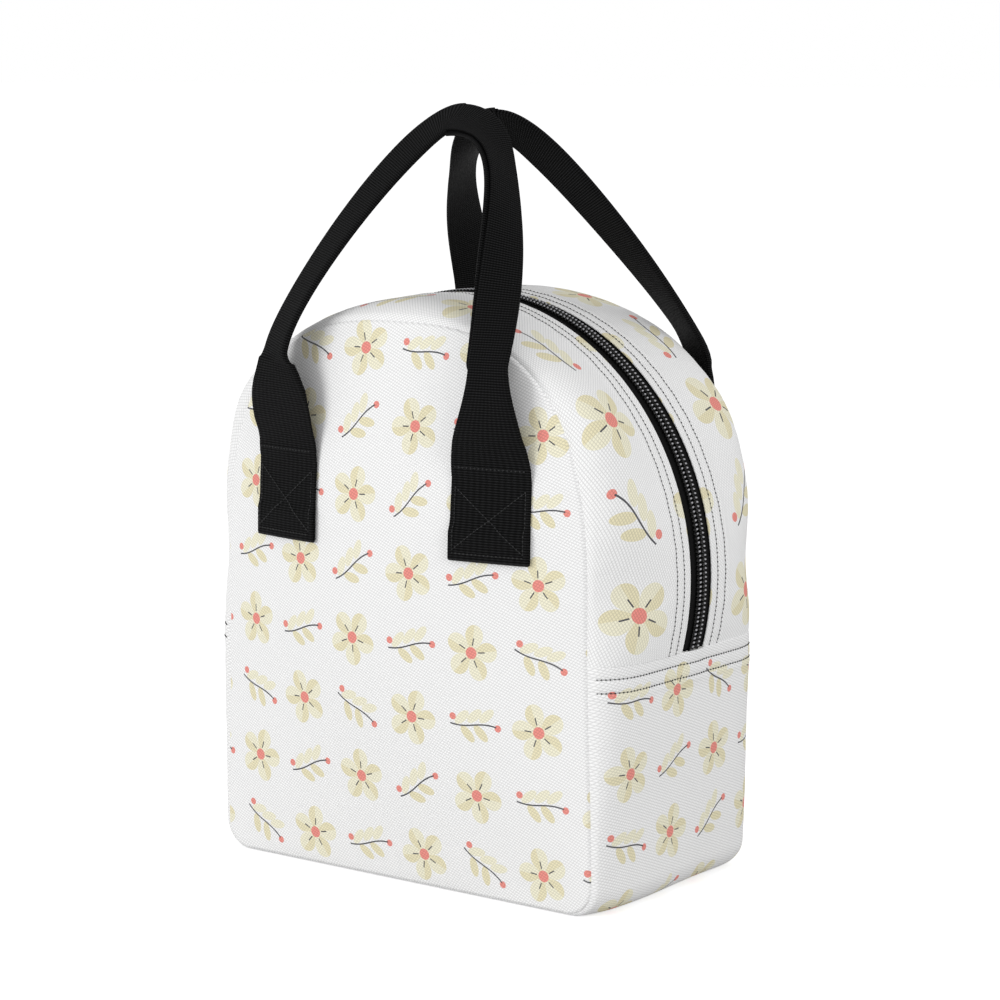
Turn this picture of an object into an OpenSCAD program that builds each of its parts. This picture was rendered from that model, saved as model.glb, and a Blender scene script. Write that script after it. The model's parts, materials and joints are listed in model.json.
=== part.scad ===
// Insulated lunch bag: two domed panels, a lower band, an arched zip-open top
// and two webbing carry handles.
// X runs along the front panel, the front faces -Y and Z is up.
// The origin is the middle of the base, on the surface the bag stands on.

/* [Bag] */
// Width of the front and back panels at their widest, seam to seam
panel_w = 216; // [200:2:250]
// Width of the panels at the fold line
fold_w = 210; // [196:2:244]
// Depth of the bag from the front seam to the back seam
bag_d = 123; // [105:1:150]
// Height of the front and back panels at the middle of their arch
arch_h = 261; // [250:1:285]
// Squareness of the panels' arch, where 2 is an ellipse
arch_power = 2.76; // [2.2:0.02:3.4]
// Radius of the panels' lower corners
corner_r = 14; // [10:1:24]
// How far the front and back panels swell out at their middle
panel_crown = 15; // [6:1:20]
// Height of the seam on top of the lower band
band_h = 114; // [100:1:118]
// Height of the line where the front and back bend as the bag opens
fold_h = 136; // [130:1:142]
// How far the sides swell past the panels at the fold line
side_swell = 18.5; // [8:0.5:22]
// How far the base edges of the sides swell past the panels
base_swell = 6; // [2:1:10]
// How far the zip's crest stands above the panels' arch
crest_rise = 9; // [4:0.5:12]

/* [Layers] */
// Thickness of the printed woven cover
cover_t = 0.8; // [0.6:0.1:1.2]
// Thickness of the foam
foam_t = 3; // [2:0.5:5]
// Thickness of the foil lining
lining_t = 0.4; // [0.3:0.1:0.8]
// Air between two layers
layer_gap = 0.1; // [0.1:0.05:0.2]
// Gap at the fold line between the fixed and the opening half
fold_gap = 0.3; // [0.3:0.1:0.6]
// Width of the binding tape over the inner seams
binding_w = 8; // [6:0.5:12]
// Thickness of the binding tape
binding_t = 1.6; // [1:0.2:2.4]

/* [Zip] */
// Width of the opening between the two top strips, filled by the zip
zip_window = 14.4; // [13.6:0.2:18]
// Width of one zip tape, from the middle slot to its sewn edge
tape_w = 14.3; // [12.5:0.1:15]
// Thickness of the zip tape
tape_t = 0.6; // [0.4:0.1:0.8]
// Gap between the zip tape and the cover it is sewn under
tape_gap = 0.3; // [0.2:0.05:0.4]
// Width of one coil
coil_w = 3.5; // [3:0.1:3.6]
// Height of the coils above their tape
coil_h = 2.4; // [2:0.1:2.8]
// Slot between the two coils, where the slider's neck runs
chain_slot = 1.4; // [1.4:0.1:1.8]
// Length of the slider
slider_len = 14; // [12:0.5:15]
// Width of the slider
slider_w = 11.6; // [11.4:0.1:12.4]
// Thickness of the slider's plates and flanges
slider_t = 1; // [0.8:0.1:1.2]
// Air between the slider and the coils
slider_gap = 0.5; // [0.4:0.05:0.6]
// How far the slider stops short of the band seam
slider_end_gap = 3; // [2.5:0.5:4]
// Length of the pull tab past its eye
tab_len = 24; // [16:1:28]
// Width of the pull tab
tab_w = 8; // [7:0.5:10]
// Thickness of the pull tab
tab_t = 1.4; // [1:0.1:1.6]

/* [Handles] */
// Width of the webbing
web_w = 38; // [30:1:42]
// Thickness of the webbing
web_t = 1.3; // [1:0.1:1.6]
// Width of the grip, where the webbing is folded double
grip_w = 19; // [16:1:24]
// Distance between the two legs of a handle
handle_spread = 121; // [110:1:130]
// Height of the top stitch line of the sewn ends
stitch_h = 199.5; // [195:0.5:205]
// Length of the sewn ends
patch_len = 42; // [34:1:50]
// Length above the stitch line that keeps the full width
flat_len = 6; // [3:1:12]
// Length over which the webbing folds to the grip
pinch_len = 38; // [28:1:42]
// Height above the stitch line where the legs start to curve
leg_rise = 40; // [34:1:46]
// How far the legs stand out from the stitch line
leg_stand = 1.5; // [1:0.5:4]
// Height of the front grip's middle
handle_top = 349; // [335:1:365]
// How much lower the back grip hangs
back_grip_drop = 3; // [0:0.5:8]
// Half-length of the flat stretch at the top of the grip
grip_flat = 30; // [22:1:36]
// Distance of the front grip's middle from the bag's middle plane
front_grip_out = 19.5; // [12:0.5:24]
// Distance of the back grip's middle from the bag's middle plane
back_grip_out = 12; // [10:0.5:24]
// How far each leg is twisted outward half way up
leg_twist = 30; // [0:1:40]
// How far the grip's face is rolled up at the top
grip_roll = 40; // [20:1:50]

/* [Hidden] */

// Colours
white = "#f3f3f1";
foam_grey = "#dcdcd8";
foil = "#c3c6ca";
black = "#161616";
dark_metal = "#2a2a2c";

// Numbers of flat facets
arch_steps = 36;
side_steps = 6;
corner_steps = 4;
base_steps = 3;
panel_rings = 4;
grip_steps = 16;
leg_steps = 9;
patch_steps = 6;
end_steps = 4;

// Insets of the layers from the bag's outer surface
foam_in = cover_t + layer_gap;
lining_in = foam_in + foam_t + layer_gap;
binding_in = lining_in + lining_t + layer_gap;

// Half the seam-to-seam depth, and where the layers of the sides begin behind the panels
half_d = bag_d / 2;
cover_y = half_d - foam_in;
foam_y = cover_y - foam_t - layer_gap;
lining_y = foam_y - lining_t - layer_gap;

// The zip runs along a circle that passes the crest and the swollen sides
crest_h = arch_h + crest_rise;
fold_mid_x = fold_w / 2 + side_swell;
zip_z = (crest_h * crest_h - fold_mid_x * fold_mid_x - fold_h * fold_h) / (2 * (crest_h - fold_h));
zip_r = crest_h - zip_z;
zip_flat = tape_w + chain_slot / 2 + 1;
zip_end_angle = asin((zip_z - band_h) / zip_r);
fold_angle = asin((zip_z - fold_h) / zip_r);
end_clear = 0.4;

// Heights above the zip circle of what makes the zip up
tape_top = -cover_t - tape_gap;
coil_top = tape_top + coil_h;
plate_bottom = coil_top + slider_gap;
plate_top = plate_bottom + slider_t;
pin_r = 0.8;
crown_r = 3.2;
crown_t = 1.4;
pin_h = plate_top + 2 * pin_r;

// Where the slider rests, as a turn about the zip's centre from its crest
slider_turn = 90 + zip_end_angle - (slider_end_gap + slider_len / 2) / zip_r * 180 / PI;

// ---------- Outlines in the XZ plane ----------

// Distance of the panels' arch from the middle of the fold line
function arch_r(a) = pow(pow(abs(cos(a)) / (fold_w / 2), arch_power)
    + pow(abs(sin(a)) / (arch_h - fold_h), arch_power), -1 / arch_power);

// Distance of the zip circle from the middle of the fold line
function zip_arc_r(a) = (zip_z - fold_h) * sin(a)
    + sqrt(pow(zip_r, 2) - pow((zip_z - fold_h) * cos(a), 2));

function polar(r, a) = [r * cos(a), fold_h + r * sin(a)];

// Half-widths of the panels and of the swollen sides below the fold line
function seam_x(z) = panel_w / 2 - (panel_w - fold_w) / 2 * (1 - cos(180 * z / fold_h)) / 2;
function zip_x(z) = sqrt(pow(zip_r, 2) - pow(z - zip_z, 2));
function swell_x(z) = z >= band_h ? zip_x(z)
    : panel_w / 2 + base_swell + (zip_x(band_h) - panel_w / 2 - base_swell) * z / band_h;

arch_angles = [for (i = [0:arch_steps]) 180 * i / arch_steps];
seam_arch = [for (a = arch_angles) polar(arch_r(a), a)];
zip_arch = [for (a = arch_angles) polar(zip_arc_r(a), a)];

// Right half of a lower outline, from the base up to top_z, for a half-width x0 at the corner
function lower_half(x0, xs, zs) = concat(
    [for (k = [1:base_steps]) [(x0 - corner_r) * k / base_steps, 0]],
    [for (k = [1:corner_steps]) let (a = 90 * k / corner_steps)
        [x0 - corner_r * (1 - sin(a)), corner_r * (1 - cos(a))]],
    [for (k = [0:len(zs) - 1]) [xs[k], zs[k]]]);

function both_halves(half) = concat(
    [for (k = [len(half) - 1:-1:0]) [-half[k].x, half[k].y]], [[0, 0]], half);

function side_levels(top_z) = [for (k = [1:side_steps]) corner_r + (top_z - corner_r) * k / side_steps];

function seam_lower(top_z) = let (zs = side_levels(top_z))
    both_halves(lower_half(seam_x(corner_r), [for (z = zs) seam_x(z)], zs));
function swell_lower(top_z) = let (zs = side_levels(top_z))
    both_halves(lower_half(swell_x(corner_r), [for (z = zs) swell_x(z)], zs));

// Right and left stubs of the sides between the band seam and the fold line
end_bottom = band_h + layer_gap;
end_levels = [for (k = [0:end_steps]) end_bottom + (fold_h - fold_gap - end_bottom) * k / end_steps];
function right_stub(is_seam) = [for (z = end_levels) [is_seam ? seam_x(z) : zip_x(z), z]];
function left_stub(is_seam) = [for (k = [end_steps:-1:0]) let (p = right_stub(is_seam)[k]) [-p.x, p.y]];

// An outline moved inward by d; its two ends move level, so that they stay at their height
function moved_in(pts, d) = let (n = len(pts) - 1) [for (i = [0:n])
    i == 0 || i == n ? [pts[i].x - sign(pts[i].x) * d, pts[i].y]
    : let (t = pts[i + 1] - pts[i - 1]) pts[i] + [-t.y, t.x] * d / norm(t)];

// ---------- Solids made of two matching surfaces ----------

function flat_list(lists) = [for (l = lists) for (p = l) p];
function quad(a, b, c, d) = [[a, b, c], [a, c, d]];

// Closed solid between two grids of points; rows run round the bag, columns run to the back
module between(outer, inner) {
    n = len(outer) - 1;
    m = len(outer[0]) - 1;
    total = (n + 1) * (m + 1);
    function o(i, j) = i * (m + 1) + j;
    function q(i, j) = total + o(i, j);
    polyhedron(points = concat(flat_list(outer), flat_list(inner)), faces = flat_list(concat(
        [for (i = [0:n - 1]) for (j = [0:m - 1]) quad(o(i, j), o(i + 1, j), o(i + 1, j + 1), o(i, j + 1))],
        [for (i = [0:n - 1]) for (j = [0:m - 1]) quad(q(i, j), q(i, j + 1), q(i + 1, j + 1), q(i + 1, j))],
        [for (j = [0:m - 1]) quad(o(0, j), o(0, j + 1), q(0, j + 1), q(0, j))],
        [for (j = [0:m - 1]) quad(o(n, j + 1), o(n, j), q(n, j), q(n, j + 1))],
        [for (i = [0:n - 1]) quad(o(i + 1, 0), o(i, 0), q(i, 0), q(i + 1, 0))],
        [for (i = [0:n - 1]) quad(o(i, m), o(i + 1, m), q(i + 1, m), q(i, m))])));
}

// How far the sides have swollen at a distance y from the middle of the depth
swell_ys = [zip_flat, for (k = [1:4]) zip_flat + (half_d - zip_flat) * k / 4];
swell_table = [for (y = swell_ys) [y, 1 - pow((y - zip_flat) / (half_d - zip_flat), 2)]];
function swell(y) = abs(y) <= zip_flat ? 1 : lookup(abs(y), swell_table);

// One layer of the sides, between two outlines, over the depths ys
module side_layer(seam, swollen, inset, t, ys) {
    function skin(d) = let (a = moved_in(seam, d), b = moved_in(swollen, d))
        [for (i = [0:len(a) - 1]) [for (y = ys) let (p = a[i] + (b[i] - a[i]) * swell(y)) [p.x, y, p.y]]];
    between(skin(inset), skin(inset + t));
}

// Depths of a front strip from its seam to an inner edge, and of the whole band
function strip_ys(seam_y, edge_y) = concat([-seam_y],
    [for (k = [3:-1:0]) if (swell_ys[k] < seam_y && swell_ys[k] > edge_y) -swell_ys[k]], [-edge_y]);
function band_ys(seam_y) = concat([-seam_y], [for (k = [3:-1:0]) -swell_ys[k]],
    [for (k = [0:3]) swell_ys[k]], [seam_y]);

// Share of the crown at a point of the panel, 0 on the outline, for a layer moved in by d
function crown_share(x, z, d) = let (h = z - fold_h)
    h > 0 ? 1 - pow(norm([x, h]) / (arch_r(atan2(h, x)) - d), 2)
    : (1 - pow(x / (seam_x(z) - d), 2)) * (1 - pow(h / (fold_h - d), 2));

// One domed layer of a front panel: rings of points shrink from its outline to the fold line's middle
module panel_layer(outline, inset, seam_y, t) {
    rings = panel_rings;
    rim = moved_in(outline, inset);
    n = len(rim) - 1;
    centre = [0, rim[0].y];
    function dome(p, y, k) = let (q = centre + (p - centre) * (1 - k / rings))
        [q.x, -y - (k == 0 ? 0 : panel_crown * crown_share(q.x, q.y, inset)), q.y];
    function skin(y) = concat([for (k = [0:rings - 1]) for (p = rim) dome(p, y, k)],
        [[centre.x, -y - panel_crown, centre.y]]);
    total = rings * (n + 1) + 1;
    function o(k, i) = k == rings ? total - 1 : k * (n + 1) + i;
    function q(k, i) = total + o(k, i);
    last = rings - 1;
    polyhedron(points = concat(skin(seam_y), skin(seam_y - t)), faces = flat_list(concat(
        [for (k = [0:last - 1]) for (i = [0:n - 1]) quad(o(k, i), o(k + 1, i), o(k + 1, i + 1), o(k, i + 1))],
        [for (i = [0:n - 1]) [[o(last, i), o(rings, i), o(last, i + 1)]]],
        [for (k = [0:last - 1]) for (i = [0:n - 1]) quad(q(k, i), q(k, i + 1), q(k + 1, i + 1), q(k + 1, i))],
        [for (i = [0:n - 1]) [[q(last, i), q(last, i + 1), q(rings, i)]]],
        [for (i = [0:n - 1]) quad(o(0, i), o(0, i + 1), q(0, i + 1), q(0, i))],
        [for (k = [0:last]) quad(o(k, 0), q(k, 0), q(k + 1, 0), o(k + 1, 0))],
        [for (k = [0:last]) quad(o(k + 1, n), q(k + 1, n), q(k, n), o(k, n))])));
}

module to_back() mirror([0, 1, 0]) children();

// ---------- Cover, foam and lining ----------

module panel_cover(outline) color(white) panel_layer(outline, 0, half_d, cover_t);
module panel_foam(outline) color(foam_grey) panel_layer(outline, foam_in, cover_y, foam_t);
module panel_lining(outline) color(foil) panel_layer(outline, lining_in, foam_y, lining_t);

fixed_outline = seam_lower(fold_h - fold_gap);

module front_panel_lower() panel_cover(fixed_outline);
module front_panel_upper() panel_cover(seam_arch);
module back_panel_lower() to_back() front_panel_lower();
module back_panel_upper() to_back() front_panel_upper();
module front_foam_lower() panel_foam(fixed_outline);
module front_foam_upper() panel_foam(seam_arch);
module back_foam_lower() to_back() front_foam_lower();
module back_foam_upper() to_back() front_foam_upper();
module front_lining_lower() panel_lining(fixed_outline);
module front_lining_upper() panel_lining(seam_arch);
module back_lining_lower() to_back() front_lining_lower();
module back_lining_upper() to_back() front_lining_upper();

module band_layer(inset, t, seam_y)
    side_layer(seam_lower(band_h), swell_lower(band_h), inset, t, band_ys(seam_y));

module lower_band() color(white) band_layer(0, cover_t, cover_y);
module band_foam() color(foam_grey) band_layer(foam_in, foam_t, foam_y);
module band_lining() color(foil) band_layer(lining_in, lining_t, lining_y);

module strip_layer(inset, t, seam_y, edge_y)
    side_layer(seam_arch, zip_arch, inset, t, strip_ys(seam_y, edge_y));

module front_top_strip() color(white) strip_layer(0, cover_t, cover_y, zip_window / 2);
module front_strip_foam() color(foam_grey) strip_layer(foam_in, foam_t, foam_y, zip_flat);
module front_strip_lining() color(foil) strip_layer(lining_in, lining_t, lining_y, zip_flat);
module back_top_strip() to_back() front_top_strip();
module back_strip_foam() to_back() front_strip_foam();
module back_strip_lining() to_back() front_strip_lining();

// The stubs of the top strips under the fold line: two at each end of the zip
module stub_layer(inset, t, seam_y, edge_y) {
    for (back = [0, 1]) mirror([0, back, 0]) {
        side_layer(right_stub(true), right_stub(false), inset, t, strip_ys(seam_y, edge_y));
        side_layer(left_stub(true), left_stub(false), inset, t, strip_ys(seam_y, edge_y));
    }
}
module strip_ends() color(white) stub_layer(0, cover_t, cover_y, zip_window / 2);
module strip_end_foam() color(foam_grey) stub_layer(foam_in, foam_t, foam_y, zip_flat);
module strip_end_lining() color(foil) stub_layer(lining_in, lining_t, lining_y, zip_flat);

// Binding tape lies against the panel's lining, round the inside of the seam
module binding(outline) {
    function edge(d) = [for (p = moved_in(outline, d))
        [for (y = [-lining_y, binding_t - lining_y]) [p.x, y, p.y]]];
    color(white) between(edge(binding_in), edge(binding_in + binding_w));
}
module front_binding_lower() binding(fixed_outline);
module front_binding_upper() binding(seam_arch);
module back_binding_lower() to_back() front_binding_lower();
module back_binding_upper() to_back() front_binding_upper();

// ---------- Zip ----------

// Part of a ring about the zip's centre, from angle a0 to a1, with a profile of radius and depth
module zip_ring(profile, a0, a1) translate([0, 0, zip_z]) rotate([90, 0, 0]) rotate([0, 0, a0])
    rotate_extrude(angle = a1 - a0, $fn = 144) polygon(profile);

tape_profile = [[zip_r + tape_top - tape_t, chain_slot / 2], [zip_r + tape_top, chain_slot / 2],
    [zip_r + tape_top, chain_slot / 2 + tape_w], [zip_r + tape_top - tape_t, chain_slot / 2 + tape_w]];
coil_bevel = 0.7;
coil_profile = let (r0 = zip_r + tape_top, r1 = zip_r + coil_top, y0 = chain_slot / 2, y1 = y0 + coil_w)
    [[r0, y0 + coil_bevel / 2], [r0 + coil_bevel, y0], [r1 - coil_bevel, y0], [r1, y0 + coil_bevel],
     [r1, y1 - coil_bevel], [r1 - coil_bevel, y1], [r0 + coil_bevel, y1], [r0, y1 - coil_bevel / 2]];

module opening_part(profile) zip_ring(profile, -fold_angle + end_clear / 2, 180 + fold_angle - end_clear / 2);
module end_parts(profile) for (back = [0, 1]) mirror([0, back, 0]) {
    zip_ring(profile, -zip_end_angle + end_clear, -fold_angle - end_clear / 2);
    zip_ring(profile, 180 + fold_angle + end_clear / 2, 180 + zip_end_angle - end_clear);
}

module front_zip_tape() color(black) opening_part(tape_profile);
module back_zip_tape() to_back() front_zip_tape();
module zip_tape_ends() color(black) end_parts(tape_profile);
module front_zip_coil() color(black) opening_part(coil_profile);
module back_zip_coil() to_back() front_zip_coil();
module zip_coil_ends() color(black) end_parts(coil_profile);

// Puts a piece drawn at the crest of the zip, with X along it and Z outward, at the slider's rest
module at_slider() translate([0, 0, zip_z]) rotate([0, -slider_turn, 0]) translate([0, 0, zip_r]) children();

module plate(t) linear_extrude(t) polygon([[-slider_len / 2, -slider_w / 2 + 1], [-slider_len / 2, slider_w / 2 - 1],
    [-slider_len / 2 + 1, slider_w / 2], [slider_len / 2 - 3, slider_w / 2], [slider_len / 2, slider_w / 2 - 3],
    [slider_len / 2, 3 - slider_w / 2], [slider_len / 2 - 3, -slider_w / 2], [-slider_len / 2 + 1, -slider_w / 2]]);

neck_len = 3;
neck_w = 0.6;
under_top = tape_top - tape_t - slider_gap;

module zip_slider() color(dark_metal) at_slider() {
    translate([0, 0, plate_bottom]) plate(slider_t);
    translate([0, 0, under_top - slider_t]) plate(slider_t);
    translate([slider_len / 2 - neck_len, -neck_w / 2, under_top - slider_t / 2])
        cube([neck_len - 0.5, neck_w, plate_bottom - under_top + slider_t]);
    for (side = [-1, 1]) translate([1 - slider_len / 2, side * (slider_w - slider_t) / 2 - slider_t / 2, 0.4])
        cube([slider_len - 4, slider_t, plate_bottom + slider_t / 2 - 0.4]);
    translate([0, 1, plate_top]) rotate([90, 0, 0]) linear_extrude(2) difference() {
        circle(crown_r + crown_t, $fn = 48);
        circle(crown_r, $fn = 48);
        translate([0, -crown_r - crown_t]) square([3 * crown_r + 2 * crown_t, 2 * (crown_r + crown_t)], center = true);
    }
    for (end = [-1, 1]) translate([end * (crown_r + crown_t / 2) - crown_t / 2, -1, plate_top - slider_t / 2])
        cube([crown_t, 2, slider_t]);
}

eye_len = 6;
arm_w = 1.4;
arm_y = 1.5;

// The pull tab hangs plumb from its pin, which runs under the slider's crown
module pull_tab() color(dark_metal) at_slider() translate([0, 0, pin_h]) rotate([0, slider_turn - 90, 0]) {
    rotate([90, 0, 0]) cylinder(h = 2 * (arm_y + arm_w), r = pin_r, center = true, $fn = 24);
    for (side = [-1, 1]) translate([-eye_len, side * (arm_y + arm_w / 2) - arm_w / 2, -tab_t / 2])
        cube([eye_len, arm_w, tab_t]);
    translate([0, 0, -tab_t / 2]) linear_extrude(tab_t) difference() {
        union() {
            translate([-eye_len - tab_len + tab_w / 2, -tab_w / 2]) square([tab_len - tab_w / 2 + 1, tab_w]);
            translate([-eye_len - tab_len + tab_w / 2, 0]) circle(tab_w / 2, $fn = 48);
        }
        translate([-eye_len - tab_len + tab_w / 2, 0]) circle(tab_w / 4, $fn = 32);
    }
}

// ---------- Handles ----------

// Depth of the front panel's outer surface, as a negative Y
function panel_y(x, z) = -half_d - panel_crown * crown_share(x, z, 0);

// A sewn end is the webbing turned under once, so it is two layers thick
module patch(side) {
    function skin(d) = [for (k = [0:patch_steps]) let (z = stitch_h - patch_len * (1 - k / patch_steps))
        [for (j = [0:patch_steps]) let (x = side * handle_spread / 2 + web_w * (j / patch_steps - 0.5))
            [x, panel_y(x, z) - layer_gap - d, z]]];
    color(black) between(skin(2 * web_t), skin(0));
}
module front_left_patch() patch(-1);
module front_right_patch() patch(1);
module back_left_patch() to_back() patch(-1);
module back_right_patch() to_back() patch(1);

// Centre line of a right leg: up from the stitch line, then a curve to the grip's middle
leg_x = handle_spread / 2;
// The leg's end clears the sewn end where the panel's crown pushes it out most, at its inner edge
root_y = panel_y(leg_x - web_w / 2, stitch_h) - layer_gap - 2.5 * web_t - fold_gap;
leg_y = root_y - leg_stand;
leg_z = stitch_h + leg_rise;
curve_rise = 30;
curve_back = 5;
function grip_curve(out, top) = [[leg_x, leg_y, leg_z], [leg_x, leg_y + curve_back, leg_z + curve_rise],
                                 [grip_flat, -out, top], [0, -out, top]];
function bezier(p, t) = pow(1 - t, 3) * p[0] + 3 * pow(1 - t, 2) * t * p[1] + 3 * (1 - t) * t * t * p[2] + pow(t, 3) * p[3];

function leg_line(out, top) = concat(
    [for (k = [0:leg_steps - 1]) let (t = k / leg_steps)
        [leg_x, root_y + (leg_y - root_y) * sin(90 * t), stitch_h + fold_gap + (leg_rise - fold_gap) * t]],
    [for (k = [0:grip_steps]) bezier(grip_curve(out, top), k / grip_steps)]);
half_n = leg_steps + grip_steps;
function line_pt(line, k) = k <= half_n ? line[k] : let (p = line[2 * half_n - k]) [-p.x, p.y, p.z];
function line_dir(line, k) = let (a = line_pt(line, max(k - 1, 0)), b = line_pt(line, min(k + 1, 2 * half_n)))
    (b - a) / norm(b - a);

// Share of the way from the curve's start to the grip's middle
function curve_share(k) = max(0, (min(k, 2 * half_n - k) - leg_steps) / grip_steps);
function pinch_share(z) = min(1, max(0, (z - stitch_h - flat_len) / pinch_len));

// One ring of the webbing: wide face along w, thickness along n
function web_ring(line, k) = let (p = line_pt(line, k), t = line_dir(line, k), side = k <= half_n ? 1 : -1,
    s = curve_share(k), roll = grip_roll * s * s,
    twist = leg_twist * sin(180 * pow(s, 0.6)),
    n0 = [side * sin(twist), -cos(twist) * cos(roll), cos(twist) * sin(roll)],
    n1 = n0 - (n0 * t) * t, n = n1 / norm(n1), w = cross(n, t),
    f = pinch_share(p.z), hw = (web_w + (grip_w - web_w) * f) / 2, ht = (web_t + (2.6 * web_t - web_t) * f) / 2,
    c = ht * 0.6)
    [for (q = [[hw - c, -ht], [hw, c - ht], [hw, ht - c], [hw - c, ht],
               [c - hw, ht], [-hw, ht - c], [-hw, c - ht], [c - hw, -ht]]) p + w * q.x + n * q.y];

// A handle whose grip's middle is out from the bag's middle plane, at height top
module handle(out, top) {
    line = leg_line(out, top);
    rings = [for (k = [0:2 * half_n]) web_ring(line, k)];
    last = len(rings) - 1;
    function o(k, i) = k * 8 + i % 8;
    color(black) polyhedron(points = flat_list(rings), faces = concat(
        flat_list([for (k = [0:last - 1]) for (i = [0:7]) quad(o(k, i), o(k + 1, i), o(k + 1, i + 1), o(k, i + 1))]),
        [[for (i = [0:7]) o(0, i)], [for (i = [7:-1:0]) o(last, i)]]));
}
module front_handle() handle(front_grip_out, handle_top);
module back_handle() to_back() handle(back_grip_out, handle_top - back_grip_drop);

front_panel_lower();
front_panel_upper();
back_panel_lower();
back_panel_upper();
lower_band();
front_top_strip();
back_top_strip();
strip_ends();
front_foam_lower();
front_foam_upper();
back_foam_lower();
back_foam_upper();
band_foam();
front_strip_foam();
back_strip_foam();
strip_end_foam();
front_lining_lower();
front_lining_upper();
back_lining_lower();
back_lining_upper();
band_lining();
front_strip_lining();
back_strip_lining();
strip_end_lining();
front_binding_lower();
front_binding_upper();
back_binding_lower();
back_binding_upper();
front_zip_tape();
back_zip_tape();
zip_tape_ends();
front_zip_coil();
back_zip_coil();
zip_coil_ends();
zip_slider();
pull_tab();
front_handle();
back_handle();
front_left_patch();
front_right_patch();
back_left_patch();
back_right_patch();
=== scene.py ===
"""Looks of an insulated lunch bag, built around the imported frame. Lengths are in metres."""

import json
import math

import bmesh
import bpy
import numpy as np
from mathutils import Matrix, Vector


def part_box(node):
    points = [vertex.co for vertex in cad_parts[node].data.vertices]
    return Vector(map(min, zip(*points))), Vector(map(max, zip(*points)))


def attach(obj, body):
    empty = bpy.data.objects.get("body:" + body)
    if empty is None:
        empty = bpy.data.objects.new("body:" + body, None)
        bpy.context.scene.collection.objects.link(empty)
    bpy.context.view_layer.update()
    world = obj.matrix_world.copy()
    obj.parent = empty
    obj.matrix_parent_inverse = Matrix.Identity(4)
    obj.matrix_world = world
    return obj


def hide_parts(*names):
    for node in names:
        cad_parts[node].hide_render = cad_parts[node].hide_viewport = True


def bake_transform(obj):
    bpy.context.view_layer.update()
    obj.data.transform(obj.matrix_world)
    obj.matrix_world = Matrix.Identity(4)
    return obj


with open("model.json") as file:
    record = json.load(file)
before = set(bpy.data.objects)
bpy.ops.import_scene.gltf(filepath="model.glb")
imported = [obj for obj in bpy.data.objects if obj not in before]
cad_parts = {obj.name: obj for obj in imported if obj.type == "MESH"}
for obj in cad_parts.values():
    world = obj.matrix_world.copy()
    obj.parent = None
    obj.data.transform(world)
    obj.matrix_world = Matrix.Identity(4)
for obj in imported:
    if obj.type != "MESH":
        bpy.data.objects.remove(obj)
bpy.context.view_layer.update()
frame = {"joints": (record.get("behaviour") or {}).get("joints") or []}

MM = 0.001


# ---------- Sizes, from the frame where it holds them ----------

def joint_place(name):
    """Where a joint of the frame turns."""
    return next(Vector(j["pos_m"]) for j in frame["joints"] if j["name"] == name)


panel_low, panel_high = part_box("front_panel_upper")
COVER_T = 0.8 * MM
FOAM_T = 3 * MM
LINING_T = 0.4 * MM
LAYER_GAP = 0.1 * MM
HALF_D = COVER_T - panel_high.y
PANEL_CROWN = -HALF_D - panel_low.y
PANEL_W = 216 * MM
FOLD_W = 2 * panel_high.x
FOLD_H = panel_low.z
ARCH_H = panel_high.z
ARCH_POWER = 2.76
CORNER_R = 14 * MM
BASE_SWELL = 6 * MM
BAND_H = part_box("lower_band")[1].z
CREST_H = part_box("front_top_strip")[1].z
ZIP_Z = joint_place("slider_travel").z
ZIP_R = CREST_H - ZIP_Z
FOAM_IN = COVER_T + LAYER_GAP
LINING_IN = FOAM_IN + FOAM_T + LAYER_GAP
BINDING_W = 8 * MM
BINDING_T = 1.6 * MM
BINDING_IN = LINING_IN + LINING_T + LAYER_GAP
COVER_Y = HALF_D - FOAM_IN
FOAM_Y = COVER_Y - FOAM_T - LAYER_GAP
LINING_Y = FOAM_Y - LINING_T - LAYER_GAP

ZIP_WINDOW = 17.2 * MM
TAPE_W = 14.3 * MM
TAPE_T = 0.6 * MM
TAPE_TOP = -1.1 * MM
COIL_H = 2 * MM
TOOTH = 2 * MM
CHAIN_SLOT = 1.4 * MM
ZIP_FLAT = TAPE_W + CHAIN_SLOT / 2 + 1 * MM

WEB_T = 1.3 * MM
GRIP_W = 19 * MM
HANDLE_SPREAD = 121 * MM
STITCH_H = joint_place("front_handle_swing").z
PATCH_LEN = 42 * MM
LEG_RISE = 40 * MM
LEG_STAND = 1.5 * MM
GRIP_ROLL = {"front": math.radians(57), "back": math.radians(40)}
# Middle of each handle's grip: along the bag, out from its middle, and up
GRIPS = {"front": (2.1 * MM, 21.1 * MM, 350.3 * MM), "back": (5.2 * MM, 10.5 * MM, 346.1 * MM)}
# How each leg curves, in mm and degrees: the steepness at its foot (rise, back), the flat run into the
# grip, its bow along the bag, the turn of its face on the way and at its foot, where that peaks, its
# foot's offset aside and out, and how high over the stitch line it starts to widen
LEGS = {("front", -1): (8.8, -14.2, 24.7, 1.2, 21, 8, 0.6, 0, 0, 46),
        ("front", 1): (28.8, 12.4, 49.1, -2.9, 78, 8, 1.68, 0, 0, 46),
        ("back", -1): (51.6, -13.1, 32.0, 9.0, 68, 20, 1.39, 0, 0, 46),
        ("back", 1): (58.7, 59.1, 19.6, -2.2, 8, 15, 0.6, 8.5, 5.2, 34)}


# ---------- Shape of the bag ----------

def arch_r(a):
    """Distance of the panels' arch from the middle of the fold line, at angle a."""
    across = np.abs(np.cos(a)) / (FOLD_W / 2)
    up = np.abs(np.sin(a)) / (ARCH_H - FOLD_H)
    return (across ** ARCH_POWER + up ** ARCH_POWER) ** (-1 / ARCH_POWER)


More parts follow.
